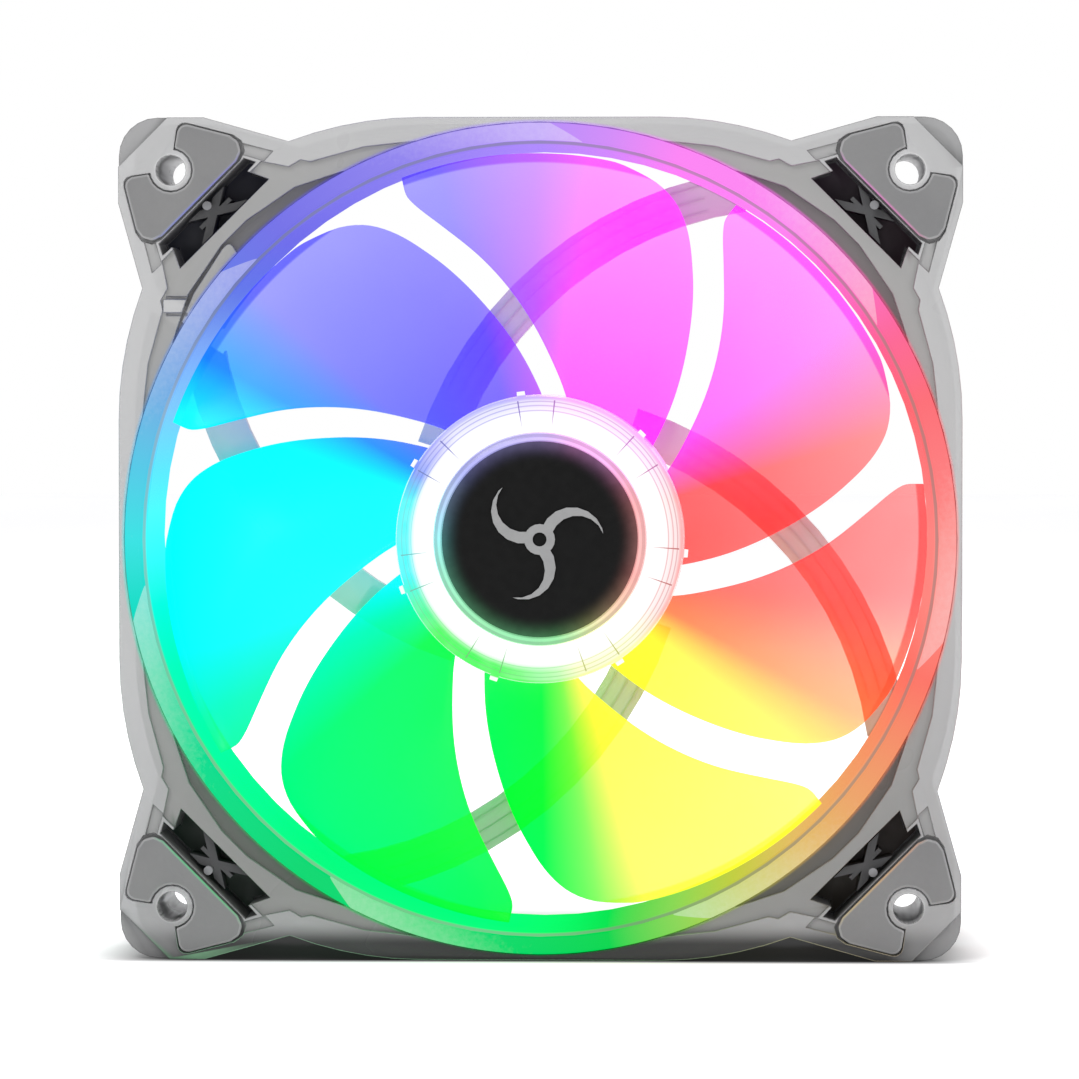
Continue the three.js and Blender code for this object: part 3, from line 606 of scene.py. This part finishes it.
def lens_material():
    """The hub's snap-on ring: white light inside, a clear rim outside that the LEDs tint, with
    thin moulded circles in it."""
    n = Nodes("hub_lens_glow")
    turn, radius, _ = n.around()
    grain = n.noise(300, 2)
    side = n.ramp(turn, RIM_TINTS)
    rim = n.math("MULTIPLY", n.band(radius, 17.6, 19.0), side)
    edge = n.band(radius, HUB_RADIUS - 1.15, HUB_RADIUS - 0.35)
    edge = n.math("MULTIPLY", edge, n.band(side, 0.2, 1.0, 0.6, 1.0))
    tint = n.math("MULTIPLY", n.math("MAXIMUM", rim, edge), n.band(grain, 0.2, 0.8, 0.86, 0.98))
    tint = n.math("MULTIPLY", tint, n.band(radius, HUB_RADIUS + 0.15, HUB_RADIUS - 0.05))
    hue = n.ramp(turn, HUE_STOPS)
    color = n.mix(tint, WHITE, hue)
    circles = 0.0
    for at in LENS_CIRCLES:
        circles = n.math("MAXIMUM", circles, n.line_at(radius, at, 0.13, 0.05))
    line = n.mix(0.5, (0.30, 0.30, 0.34, 1), hue)
    color = n.mix(n.math("MULTIPLY", circles, 0.5), color, line)
    return n.finish(
        n.principled(
            Base_Color=grey(0.03),
            Roughness=n.band(grain, 0.3, 0.7, 0.16, 0.3),
            Specular_IOR_Level=0.2,
            Emission_Color=color,
            Emission_Strength=n.band(radius, 18.2, 20.4, 1.04, 0.94),
        )
    )


def seam_material():
    """Seams in the lens: thin dark-tinted lines in the LEDs' hues, fainter towards the middle."""
    n = Nodes("lens_seam")
    turn, radius, _ = n.around()
    grain = n.noise(500, 2)
    hue = n.mix(n.band(radius, SEAM_START, 18.4, 0.85, 0.3), n.ramp(turn, HUE_STOPS), WHITE)
    return n.finish(
        n.principled(
            Base_Color=n.mix(n.band(grain, 0.3, 0.7), grey(0.02), grey(0.03)),
            Roughness=0.3,
            Specular_IOR_Level=0.1,
            Emission_Color=hue,
            Emission_Strength=n.band(radius, SEAM_START, 18.4, 0.85, 0.55),
        )
    )


def hub_material():
    """The hub's clear wall, lit from inside."""
    n = Nodes("hub_wall_glow")
    turn, _, depth = n.around()
    grain = n.noise(120, 2)
    body = n.principled(
        Base_Color=(0.5, 0.5, 0.52, 1),
        Roughness=n.band(grain, 0.3, 0.7, 0.12, 0.22),
        Emission_Color=n.mix(0.35, n.ramp(turn, HUE_STOPS), WHITE),
        Emission_Strength=n.band(depth, HUB_FRONT, HUB_REAR, 0.8, 1.1),
        Coat_Weight=0.4,
        Coat_Roughness=0.1,
    )
    clear = n.add("ShaderNodeBsdfTransparent", {0: WHITE})
    return n.finish(n.mix_shaders(0.35, body, clear))


def rubber_material():
    """Grey rubber with painted highlights on its edges: the LEDs' light on its inner edge, the
    studio's on its outer edges.
    """
    n = Nodes("grey_rubber")
    turn, radius, _ = n.around()
    fine = n.noise(1400, 2, 0.6)
    broad = n.noise(60, 2)
    color = n.mix(n.band(broad, 0.3, 0.7), (0.170, 0.170, 0.172, 1), grey(0.190))
    # Painted highlight along the edges: the ring's hue near the duct, pale grey further out.
    rim = n.mix(n.band(radius, 68.2, 70.0), n.ramp(turn, RING_STOPS), grey(0.42))
    return n.finish(
        n.principled(
            Base_Color=n.mix(n.math("MULTIPLY", n.edges(), 0.5), color, rim),
            Roughness=n.band(fine, 0.3, 0.7, 0.6, 0.78),
            Specular_IOR_Level=0.25,
            Normal=n.bump(fine, 0.18),
        )
    )


def insert_material():
    """The insert in an ear's window, with painted shade: almost black on its plate, greyer up the
    truss.
    """
    n = Nodes("insert_with_painted_shade")
    turn, _, depth = n.around()
    grain = n.noise(500, 3)
    # A faint painted tint of the ring's light on the plate.
    plate = n.mix(0.03, (0.022, 0.022, 0.023, 1), n.ramp(turn, RING_STOPS))
    # Painted shade by depth: darker deeper in the pocket.
    truss = n.mix(n.band(depth, -8.7, -10.2), (0.085, 0.085, 0.088, 1), (0.24, 0.24, 0.25, 1))
    color = n.mix(n.band(depth, -4.0, -8.4), plate, truss)
    return n.finish(
        n.principled(
            Base_Color=n.mix(n.band(grain, 0.3, 0.7, 0.0, 0.12), color, grey(0.05)),
            Roughness=n.band(grain, 0.3, 0.7, 0.35, 0.5),
            Specular_IOR_Level=0.3,
            Normal=n.bump(grain, 0.08),
        )
    )


def plain_material(name, dark, light, rough, metal=0.0, scale=300):
    """Moulded plastic, rubber or cast metal: a fine mottle in colour, roughness and surface."""
    n = Nodes(name)
    grain = n.noise(scale, 3)
    return n.finish(
        n.principled(
            Base_Color=n.mix(n.band(grain, 0.3, 0.7), (*dark, 1), (*light, 1)),
            Roughness=n.band(grain, 0.25, 0.75, rough - 0.06, rough + 0.06),
            Metallic=metal,
            Normal=n.bump(grain, 0.08),
        )
    )


def brushed_material(name, dark, light, rough, scale=(60, 900, 60)):
    """Metal with fine lines drawn along it."""
    n = Nodes(name)
    stretch = n.add("ShaderNodeMapping", {0: n.object_place(), 3: scale})
    lines = n.noise(8, 3, 0.6, stretch.outputs[0])
    return n.finish(
        n.principled(
            Base_Color=n.mix(n.band(lines, 0.3, 0.7), (*dark, 1), (*light, 1)),
            Roughness=n.band(lines, 0.25, 0.75, rough - 0.08, rough + 0.08),
            Metallic=1.0,
            Normal=n.bump(lines, 0.1),
        )
    )


def cap_material():
    """Satin black, with the LEDs' light painted on as a glow creeping over its edge."""
    n = Nodes("cap_black")
    turn, radius, _ = n.around()
    grain = n.noise(700, 2)
    edge = n.math("POWER", n.band(radius, 10.6, 14.4), 2.0)
    glow = n.math("MULTIPLY", edge, n.band(grain, 0.2, 0.8, 0.9, 1.1))
    return n.finish(
        n.principled(
            Base_Color=n.mix(n.band(grain, 0.3, 0.7), grey(0.0070), grey(0.0085)),
            Roughness=n.band(grain, 0.3, 0.7, 0.48, 0.56),
            Specular_IOR_Level=0.05,
            Emission_Color=n.mix(0.35, n.ramp(turn, RING_STOPS), grey(0.5)),
            Emission_Strength=n.math("MULTIPLY", glow, 0.24),
        )
    )


def trim_material():
    """The bevelled ring, with a painted reflection of the LEDs' light: a light inner line as a
    painted highlight, then darker.
    """
    n = Nodes("trim_bright")
    turn, radius, _ = n.around()
    grain = n.noise(400, 2)
    hue = n.mix(0.3, n.ramp(turn, RING_STOPS), grey(0.9))
    line = n.line_at(radius, CAP_RADIUS + 0.4, 0.3, 0.12)
    return n.finish(
        n.principled(
            Base_Color=n.mix(n.band(grain, 0.3, 0.7, 0.85, 0.9), hue, grey(0.04)),
            Roughness=n.band(grain, 0.3, 0.7, 0.2, 0.3),
            Specular_IOR_Level=0.4,
            Emission_Color=hue,
            Emission_Strength=n.band(line, 0.0, 1.0, 0.62, 0.95),
        )
    )


def winding_material():
    """Enamelled wire: close turns that show as fine bands."""
    n = Nodes("copper_winding")
    inputs = {"Vector": n.object_place(), "Scale": 900.0, "Distortion": 0.6}
    turns = n.add("ShaderNodeTexWave", inputs).outputs["Fac"]
    return n.finish(
        n.principled(
            Base_Color=n.mix(turns, (0.30, 0.10, 0.03, 1), (0.72, 0.30, 0.11, 1)),
            Roughness=n.band(turns, 0.0, 1.0, 0.42, 0.28),
            Metallic=0.9,
            Normal=n.bump(turns, 0.5),
        )
    )


LED_CIRCLE = 16.9  # the radius of the circle that the LEDs stand on


def led_material(name, color):
    """An LED's pale body, bright over its middle."""
    n = Nodes(name)
    _, radius, _ = n.around()
    speck = n.noise(1500, 2)
    off = n.math("ABSOLUTE", n.math("SUBTRACT", radius, LED_CIRCLE))
    return n.finish(
        n.principled(
            Base_Color=n.mix(n.band(speck, 0.3, 0.7), (0.8, 0.8, 0.7, 1), (0.9, 0.9, 0.85, 1)),
            Roughness=0.3,
            Emission_Color=(*color, 1),
            Emission_Strength=n.band(off, 0.9, 1.4, 6.0, 0.6),
        )
    )


SMOKY = smoky_material()
RING = ring_material()
BLADE = blade_material()
HUB = hub_material()
LENS = lens_material()
SEAM = seam_material()
RUBBER = rubber_material()
INSERT = insert_material()
CAP = cap_material()
TRIM = trim_material()
WINDING = winding_material()
BLACK = plain_material("black_plastic", (0.012, 0.012, 0.012), (0.022, 0.022, 0.022), 0.4)
BOARD = plain_material("circuit_board", (0.70, 0.71, 0.69), (0.80, 0.81, 0.79), 0.45)
NYLON = plain_material("nylon", (0.74, 0.72, 0.66), (0.84, 0.82, 0.76), 0.5)
LABEL = plain_material("blank_label", (0.55, 0.56, 0.58), (0.62, 0.63, 0.65), 0.42, scale=900)
BLACK_RUBBER = plain_material("black_rubber", (0.03, 0.03, 0.03), (0.05, 0.05, 0.05), 0.7)
FERRITE = plain_material("magnet", (0.04, 0.04, 0.042), (0.07, 0.07, 0.075), 0.6, scale=700)
BRONZE = plain_material("sintered_bronze", (0.42, 0.25, 0.10), (0.58, 0.38, 0.18), 0.4, 0.9, 1200)
MARK = plain_material("silver_mark", (0.24, 0.24, 0.242), (0.262, 0.262, 0.264), 0.5, scale=400)
STEEL = brushed_material("plain_steel", (0.45, 0.46, 0.48), (0.62, 0.63, 0.65), 0.32)
CORE = brushed_material("core_sheets", (0.18, 0.18, 0.19), (0.42, 0.43, 0.45), 0.45, (30, 2400, 30))

# ---- CAD nodes that stay --------------------------------------------------------------------

WELD_GAP = 2e-6  # in metres
FLAT_ANGLE = 1  # faces closer than this to one plane become one face
SOFT_ANGLE = 30  # edges sharper than this are softened


def keep(node, material, bevel=0.0, steps=2):
    """Gives a CAD node its finish and, where asked, softens its edges with modifiers."""
    obj = NODES[node]
    obj.data.materials.clear()
    obj.data.materials.append(material)
    weld = obj.modifiers.new("weld", "WELD")
    weld.merge_threshold = WELD_GAP
    if bevel:
        flat = obj.modifiers.new("flat_faces", "DECIMATE")
        flat.decimate_type = "DISSOLVE"
        flat.angle_limit = math.radians(FLAT_ANGLE)
        edge = obj.modifiers.new("soft_edges", "BEVEL")
        edge.width = bevel * MM
        edge.segments = steps
        edge.limit_method = "ANGLE"
        edge.angle_limit = math.radians(SOFT_ANGLE)
        edge.harden_normals = True
    for polygon in obj.data.polygons:
        polygon.use_smooth = True


keep("housing", SMOKY, bevel=0.22)
for corner in ("tl", "tr", "bl", "br"):
    keep("pad_front_" + corner, RUBBER, bevel=0.35, steps=3)
    keep("pad_rear_" + corner, RUBBER, bevel=0.35, steps=3)
    keep("corner_insert_" + corner, INSERT, bevel=0.1)
keep("cable_clip_inner", BLACK, bevel=0.12)
keep("cable_clip_outer", BLACK, bevel=0.12)
keep("rear_label", LABEL, bevel=0.05)
keep("emblem", MARK, bevel=0.06)
keep("circuit_board", BOARD, bevel=0.05)
keep("driver_chip", BLACK, bevel=0.1)
keep("hall_sensor", BLACK, bevel=0.1)
keep("capacitor", BRONZE, bevel=0.1)
keep("stator_core", CORE, bevel=0.05)
keep("insulator_front", NYLON, bevel=0.08)
keep("insulator_rear", NYLON, bevel=0.08)
for i in range(1, 5):
    keep(f"coil_{i}", WINDING, bevel=0.15)
keep("bearing_sleeve", BRONZE, bevel=0.08)
keep("oil_seal", BLACK_RUBBER)
keep("retaining_clip", STEEL)
keep("thrust_pad", NYLON)
keep("rotor_yoke", STEEL, bevel=0.08)
keep("magnet_ring", FERRITE, bevel=0.08)
keep("shaft", STEEL, bevel=0.05)
LED_HUES = [(1, 0.1, 0.1), (1, 0.1, 1), (0.15, 0.15, 1), (0, 1, 1), (0, 1, 0.15), (1, 1, 0.1)]
for i, color in enumerate(LED_HUES, 1):
    keep(f"led_{i}", led_material(f"led_light_{i}", color), bevel=0.08)

# ---- Light ring -----------------------------------------------------------------------------

ring_corners = [
    (RING_IN, RING_REAR, 0.15),
    (RING_IN, FRONT, 0.45),
    (RING_OUT, FRONT, 0.45),
    (RING_OUT, RING_REAR, 0.15),
]
piece(
    "light_ring_frosted",
    *lathe(rounded_outline(ring_corners)),
    "housing",
    "frosted_ring",
    RING,
    replaces=["light_ring"],
)

# ---- Impeller -------------------------------------------------------------------------------

# The first blade's two edges, as points of (radius, degrees) from inside the hub to the tip.
BLADE_ROOT = 20
LEADING = [
    (BLADE_ROOT, 78),
    (25.5, 85.7),
    (31, 91.8),
    (41, 101.7),
    (47, 107.5),
    (52, 111.1),
    (BLADE_TIP, 111),
]
TRAILING = [
    (BLADE_ROOT, 39.5),
    (24, 43.5),
    (33.5, 52.1),
    (44, 60.6),
    (50.5, 66.4),
    (53.5, 71.5),
    (BLADE_TIP, 79),
]
# At the hub and at the tip: where the edges lie along Y, and how thick the blade is.
LEADING_Y = (-9.4, -8.4)
TRAILING_Y = (7.4, 6.2)
BLADE_THICK = (1.9, 1.2)
CAMBER = 0.9
BLADE_SUNK = 0.6  # how deep a blade goes into the hub's wall
BLADE_ROWS = 40
BLADE_COLUMNS = 36


def smooth_table(table, x):
    """A smooth curve through a table's points (Catmull-Rom)."""
    last = len(table) - 1
    k = next((i for i in range(last) if x <= table[i + 1][0]), last - 1)
    x0, v0 = table[k]
    x1, v1 = table[k + 1]
    before = table[max(k - 1, 0)]
    after = table[min(k + 2, last)]
    t = (x - x0) / (x1 - x0)
    m0 = (v1 - before[1]) / (x1 - before[0]) * (x1 - x0)
    m1 = (after[1] - v0) / (after[0] - x0) * (x1 - x0)
    a = 2 * t**3 - 3 * t**2 + 1
    b = t**3 - 2 * t**2 + t
    return a * v0 + b * m0 + (1 - a) * v1 + (t**3 - t**2) * m1


def between(pair, radius):
    """A value that goes evenly from the pair's first at the hub to its second at the tip."""
    share = (radius - HUB_RADIUS) / (BLADE_TIP - HUB_RADIUS)
    return pair[0] + (pair[1] - pair[0]) * share


def blade_point(radius, share):
    """The middle of the blade's thickness, at a share of the way from its leading edge."""
    lead = smooth_table(LEADING, max(radius, BLADE_ROOT))
    trail = smooth_table(TRAILING, max(radius, BLADE_ROOT))
    x, z = polar(radius, lead + (trail - lead) * share)
    front, rear = between(LEADING_Y, radius), between(TRAILING_Y, radius)
    y = front + (rear - front) * share + CAMBER * math.sin(math.pi * share)
    return Vector((x, y, z))


def blade_normal(radius, share):
    """The direction square to the blade's middle surface."""
    step = 0.02
    inside = min(radius, BLADE_TIP - 0.1)
    across = blade_point(inside, share + step) - blade_point(inside, share - step)
    out = blade_point(inside + step, share) - blade_point(inside - step, share)
    return across.cross(out).normalized()


def blade():
    """One closed blade: two skins over a fine grid, thin at the edges."""
    first = HUB_RADIUS - BLADE_SUNK
    rows = []
    for i in range(BLADE_ROWS + 1):
        share = i / BLADE_ROWS
        rows.append(first + (BLADE_TIP - first) * math.sin(share * math.pi / 2) ** 1.1)
    columns = []
    for i in range(BLADE_COLUMNS + 1):
        columns.append((1 - math.cos(math.pi * i / BLADE_COLUMNS)) / 2)
    vertices = []
    for side in (-1, 1):
        for radius in rows:
            for share in columns:
                full = 0.3 + 0.7 * math.sqrt(math.sin(math.pi * share))
                half = between(BLADE_THICK, radius) * full / 2
                edge = min(1.0, (BLADE_TIP - radius) / 0.5 + 0.55)
                off = blade_normal(radius, share) * side * half * edge
                vertices.append(tuple(blade_point(radius, share) + off))
    wide = len(columns)
    tall = len(rows)

    def at(side, row, column):
        return (side * tall + row) * wide + column

    faces = []
    for row in range(tall - 1):
        for i in range(wide - 1):
            front = [(row, i), (row, i + 1), (row + 1, i + 1), (row + 1, i)]
            back = [(row, i), (row + 1, i), (row + 1, i + 1), (row, i + 1)]
            faces.append([at(0, *corner) for corner in front])
            faces.append([at(1, *corner) for corner in back])
        for i in (0, wide - 1):
            faces.append([at(0, row, i), at(0, row + 1, i), at(1, row + 1, i), at(1, row, i)])
    for i in range(wide - 1):
        for row in (0, tall - 1):
            faces.append([at(0, row, i), at(0, row, i + 1), at(1, row, i + 1), at(1, row, i)])
    return vertices, faces


one_blade = blade()
for i in range(BLADE_COUNT):
    piece(
        f"impeller_blade_{i + 1}",
        *turned(one_blade, -PITCH * i),
        "rotor",
        "clear_plastic",
        BLADE,
        replaces=["impeller"],
        smooth=50,
    )

SKIRT_WALL = 1.05
SKIRT_REAR = 3

hub_inner = HUB_RADIUS - HUB_WALL
plate_rear = HUB_FRONT + 1
skirt = YOKE_RADIUS + 0.15
hub_corners = [
    (0, HUB_FRONT, 0),
    (HUB_RADIUS, HUB_FRONT, 0.5),
    (HUB_RADIUS, HUB_REAR, 0.3),
    (hub_inner, HUB_REAR, 0.3),
    (hub_inner, plate_rear, 0.3),
    (skirt + SKIRT_WALL, plate_rear, 0.3),
    (skirt + SKIRT_WALL, SKIRT_REAR, 0.2),
    (skirt, SKIRT_REAR, 0.2),
    (skirt, plate_rear, 0.1),
    (0, plate_rear, 0),
]
piece(
    "impeller_hub",
    *lathe(rounded_outline(hub_corners)),
    "rotor",
    "clear_plastic",
    HUB,
    replaces=["impeller"],
)

# ---- Hub lens, trim and cap -----------------------------------------------------------------

# Where the first tab and the first pair of seams lie, in degrees, and half the pair's spread.
TAB_FIRST = 97.4
SEAM_FIRST = 91.4
SEAM_HALF = 7.6

lens_outer = HUB_RADIUS - 0.2
lens_inner = TRIM_RADIUS + 0.15

lens_corners = [
    (lens_inner, HUB_FRONT, 0),
    (lens_inner, LENS_FRONT + 0.3, 0.15),
    (18.0, LENS_FRONT + 0.3, 0.05),
    (18.15, LENS_FRONT, 0.1),
    (18.9, LENS_FRONT, 0.1),
    (19.05, LENS_FRONT + 0.25, 0.05),
    (19.4, LENS_FRONT + 0.25, 0.05),
    (19.5, LENS_FRONT + 0.05, 0.1),
    (lens_outer, LENS_FRONT + 0.05, 0.4),
    (lens_outer, HUB_FRONT, 0),
]
tab_start = lens_outer - 0.5
tab_end = HUB_RADIUS + 0.6
tab_outline = [(tab_start, -0.65), (tab_end, -0.55), (tab_end, 0.55), (tab_start, 0.65)]
tab = prism(tab_outline, LENS_FRONT + 0.5, HUB_FRONT - 0.2)
lens_parts = [lathe(rounded_outline(lens_corners))]
for i in range(BLADE_COUNT):
    lens_parts.append(turned(tab, TAB_FIRST - PITCH * i))
piece(
    "hub_lens_clear",
    *joined(lens_parts),
    "rotor",
    "glow_lens",
    LENS,
    replaces=["hub_lens"],
)

seam_outline = [(SEAM_START, -0.04), (SEAM_END, -0.1), (SEAM_END, 0.1), (SEAM_START, 0.04)]
seam = prism(seam_outline, LENS_FRONT - 0.02, LENS_FRONT + 0.6)
seams = []
for i in range(BLADE_COUNT):
    for side in (-1, 1):
        seams.append(turned(seam, SEAM_FIRST + side * SEAM_HALF - PITCH * i))
piece("hub_lens_seams", *joined(seams), "rotor", "glow_lens", SEAM)

trim_corners = [
    (CAP_RADIUS + 0.05, HUB_FRONT, 0),
    (CAP_RADIUS + 0.05, TRIM_FRONT + 0.35, 0.15),
    (CAP_RADIUS + 0.5, TRIM_FRONT, 0.2),
    (TRIM_RADIUS, TRIM_FRONT + 0.4, 0.15),
    (TRIM_RADIUS, HUB_FRONT, 0),
]
piece(
    "cap_trim",
    *lathe(rounded_outline(trim_corners)),
    "rotor",
    "trim_metal",
    TRIM,
    replaces=["cap_ring"],
)
cap_corners = [
    (0, CAP_FRONT, 0),
    (CAP_RADIUS, CAP_FRONT, 0.25),
    (CAP_RADIUS, HUB_FRONT, 0),
    (0, HUB_FRONT, 0),
]
piece(
    "hub_cap_disc",
    *lathe(rounded_outline(cap_corners)),
    "rotor",
    "cap_black",
    CAP,
    replaces=["hub_cap"],
)

# ---- Ridges along the rear arms -------------------------------------------------------------

ARM_BEND = 55  # the radius of an arm's curve
ARM_CENTRE = 36.9  # how far the curve's centre lies from the fan's axis
ARM_FIRST = -6.6  # the direction of the first arm's centre, in degrees
ARM_STEP = 90
RIDGED_ARMS = 3  # the fourth arm holds the cable channel
RIDGES = (-1.9, 0.0, 1.9)  # off the middle of an arm
RIDGE_HALF = 0.1
RIDGE_ANGLES = [104 + 1.5 * i for i in range(34)]


def arm_ridge(index, middle):
    """One raised line along an arm, from near the hub to near the duct."""
    around = -ARM_STEP * index
    cx, cz = polar(ARM_CENTRE, ARM_FIRST + around)
    outline = []
    for way in (1, -1):
        for angle in RIDGE_ANGLES[::way]:
            dx, dz = polar(ARM_BEND + middle + RIDGE_HALF * way, angle + around)
            outline.append((cx + dx, cz + dz))
    return prism(outline, BASE_FRONT - 0.2, BASE_FRONT + 0.02)


ridge_parts = [arm_ridge(index, middle) for index in range(RIDGED_ARMS) for middle in RIDGES]
piece("arm_ridges", *joined(ridge_parts), "housing", "smoky_plastic", SMOKY)

# ---- Floor, light and camera, in metres -----------------------------------------------------

FLOOR_HALF = 3.0
FLOOR_GAP = 0.0001


def floor_material():
    """A white floor, with a soft painted shadow under and behind the fan."""
    n = Nodes("studio_floor")
    cloud = n.noise(3, 2)
    place = n.add("ShaderNodeNewGeometry").outputs["Position"]
    parts = n.add("ShaderNodeSeparateXYZ", {0: place}).outputs
    # Painted shadow, placed by position: under and just behind the fan, fading to the sides.
    near = n.math("MULTIPLY", n.band(parts[1], -0.0165, -0.0115), n.band(parts[1], 0.075, 0.018))
    under = n.math("MULTIPLY", near, n.band(n.math("ABSOLUTE", parts[0]), 0.069, 0.050))
    lit = n.math("SUBTRACT", 1.0, n.math("MULTIPLY", under, 0.97))
    white = n.mix(n.band(cloud, 0.3, 0.7), grey(0.90), grey(0.93))
    return n.finish(
        n.principled(
            Base_Color=n.mix(lit, grey(0.0), white),
            Roughness=0.8,
            Specular_IOR_Level=0.02,
            Emission_Color=WHITE,
            Emission_Strength=n.math("MULTIPLY", lit, 0.42),
        )
    )


def add_floor():
    """The floor, just under the fan."""
    mesh = bpy.data.meshes.new("floor")
    level = -HALF_SIZE * MM - FLOOR_GAP
    signs = ((-1, -1), (1, -1), (1, 1), (-1, 1))
    corners = [(x * FLOOR_HALF, y * FLOOR_HALF, level) for x, y in signs]
    mesh.from_pydata(corners, [], [(0, 1, 2, 3)])
    mesh.materials.append(floor_material())
    floor = bpy.data.objects.new("floor", mesh)
    bpy.context.scene.collection.objects.link(floor)


def add_world():
    """A plain white backdrop that lights the fan a little less than it shows."""
    world = bpy.data.worlds.new("studio")
    bpy.context.scene.world = world
    world.use_nodes = True
    tree = world.node_tree
    tree.nodes.clear()
    path = tree.nodes.new("ShaderNodeLightPath")
    lighting = tree.nodes.new("ShaderNodeBackground")
    lighting.inputs[0].default_value = (0.62, 0.62, 0.63, 1)
    backdrop = tree.nodes.new("ShaderNodeBackground")
    backdrop.inputs[0].default_value = WHITE
    choose = tree.nodes.new("ShaderNodeMixShader")
    output = tree.nodes.new("ShaderNodeOutputWorld")
    tree.links.new(path.outputs["Is Camera Ray"], choose.inputs[0])
    tree.links.new(lighting.outputs[0], choose.inputs[1])
    tree.links.new(backdrop.outputs[0], choose.inputs[2])
    tree.links.new(choose.outputs[0], output.inputs[0])


def area_light(name, place, size, power):
    """A soft square light that faces the fan."""
    light = bpy.data.lights.new(name, "AREA")
    light.size = size
    light.energy = power
    obj = bpy.data.objects.new(name, light)
    bpy.context.scene.collection.objects.link(obj)
    obj.location = place
    obj.rotation_mode = "QUATERNION"
    obj.rotation_quaternion = (-Vector(place)).to_track_quat("-Z", "Y")


CAMERA_DISTANCE = 0.75
CAMERA_ASIDE = 0.025
CAMERA_ABOVE = 0.023
VIEW_WIDTH = 0.1533  # what the picture takes in at the front of the fan
SENSOR = 36  # in millimetres, as the lens is


def add_camera():
    """The camera: almost straight in front, looking at the middle of the fan's front."""
    camera = bpy.data.cameras.new("camera")
    camera.sensor_width = SENSOR
    camera.lens = SENSOR * CAMERA_DISTANCE / VIEW_WIDTH
    obj = bpy.data.objects.new("camera", camera)
    bpy.context.scene.collection.objects.link(obj)
    target = Vector((0, FRONT * MM, 0))
    place = Vector((CAMERA_ASIDE, FRONT * MM - CAMERA_DISTANCE, CAMERA_ABOVE))
    obj.location = place
    obj.rotation_mode = "QUATERNION"
    obj.rotation_quaternion = (target - place).to_track_quat("-Z", "Y")
    bpy.context.scene.camera = obj


add_floor()
add_world()
area_light("key", (-0.45, -0.7, 0.75), 0.5, 5)
area_light("fill", (0.7, -0.6, 0.35), 0.6, 2)
area_light("back", (0.1, 0.8, 0.6), 0.6, 4)
add_camera()

bpy.context.scene.view_settings.view_transform = "Standard"
bpy.context.scene.view_settings.look = "None"
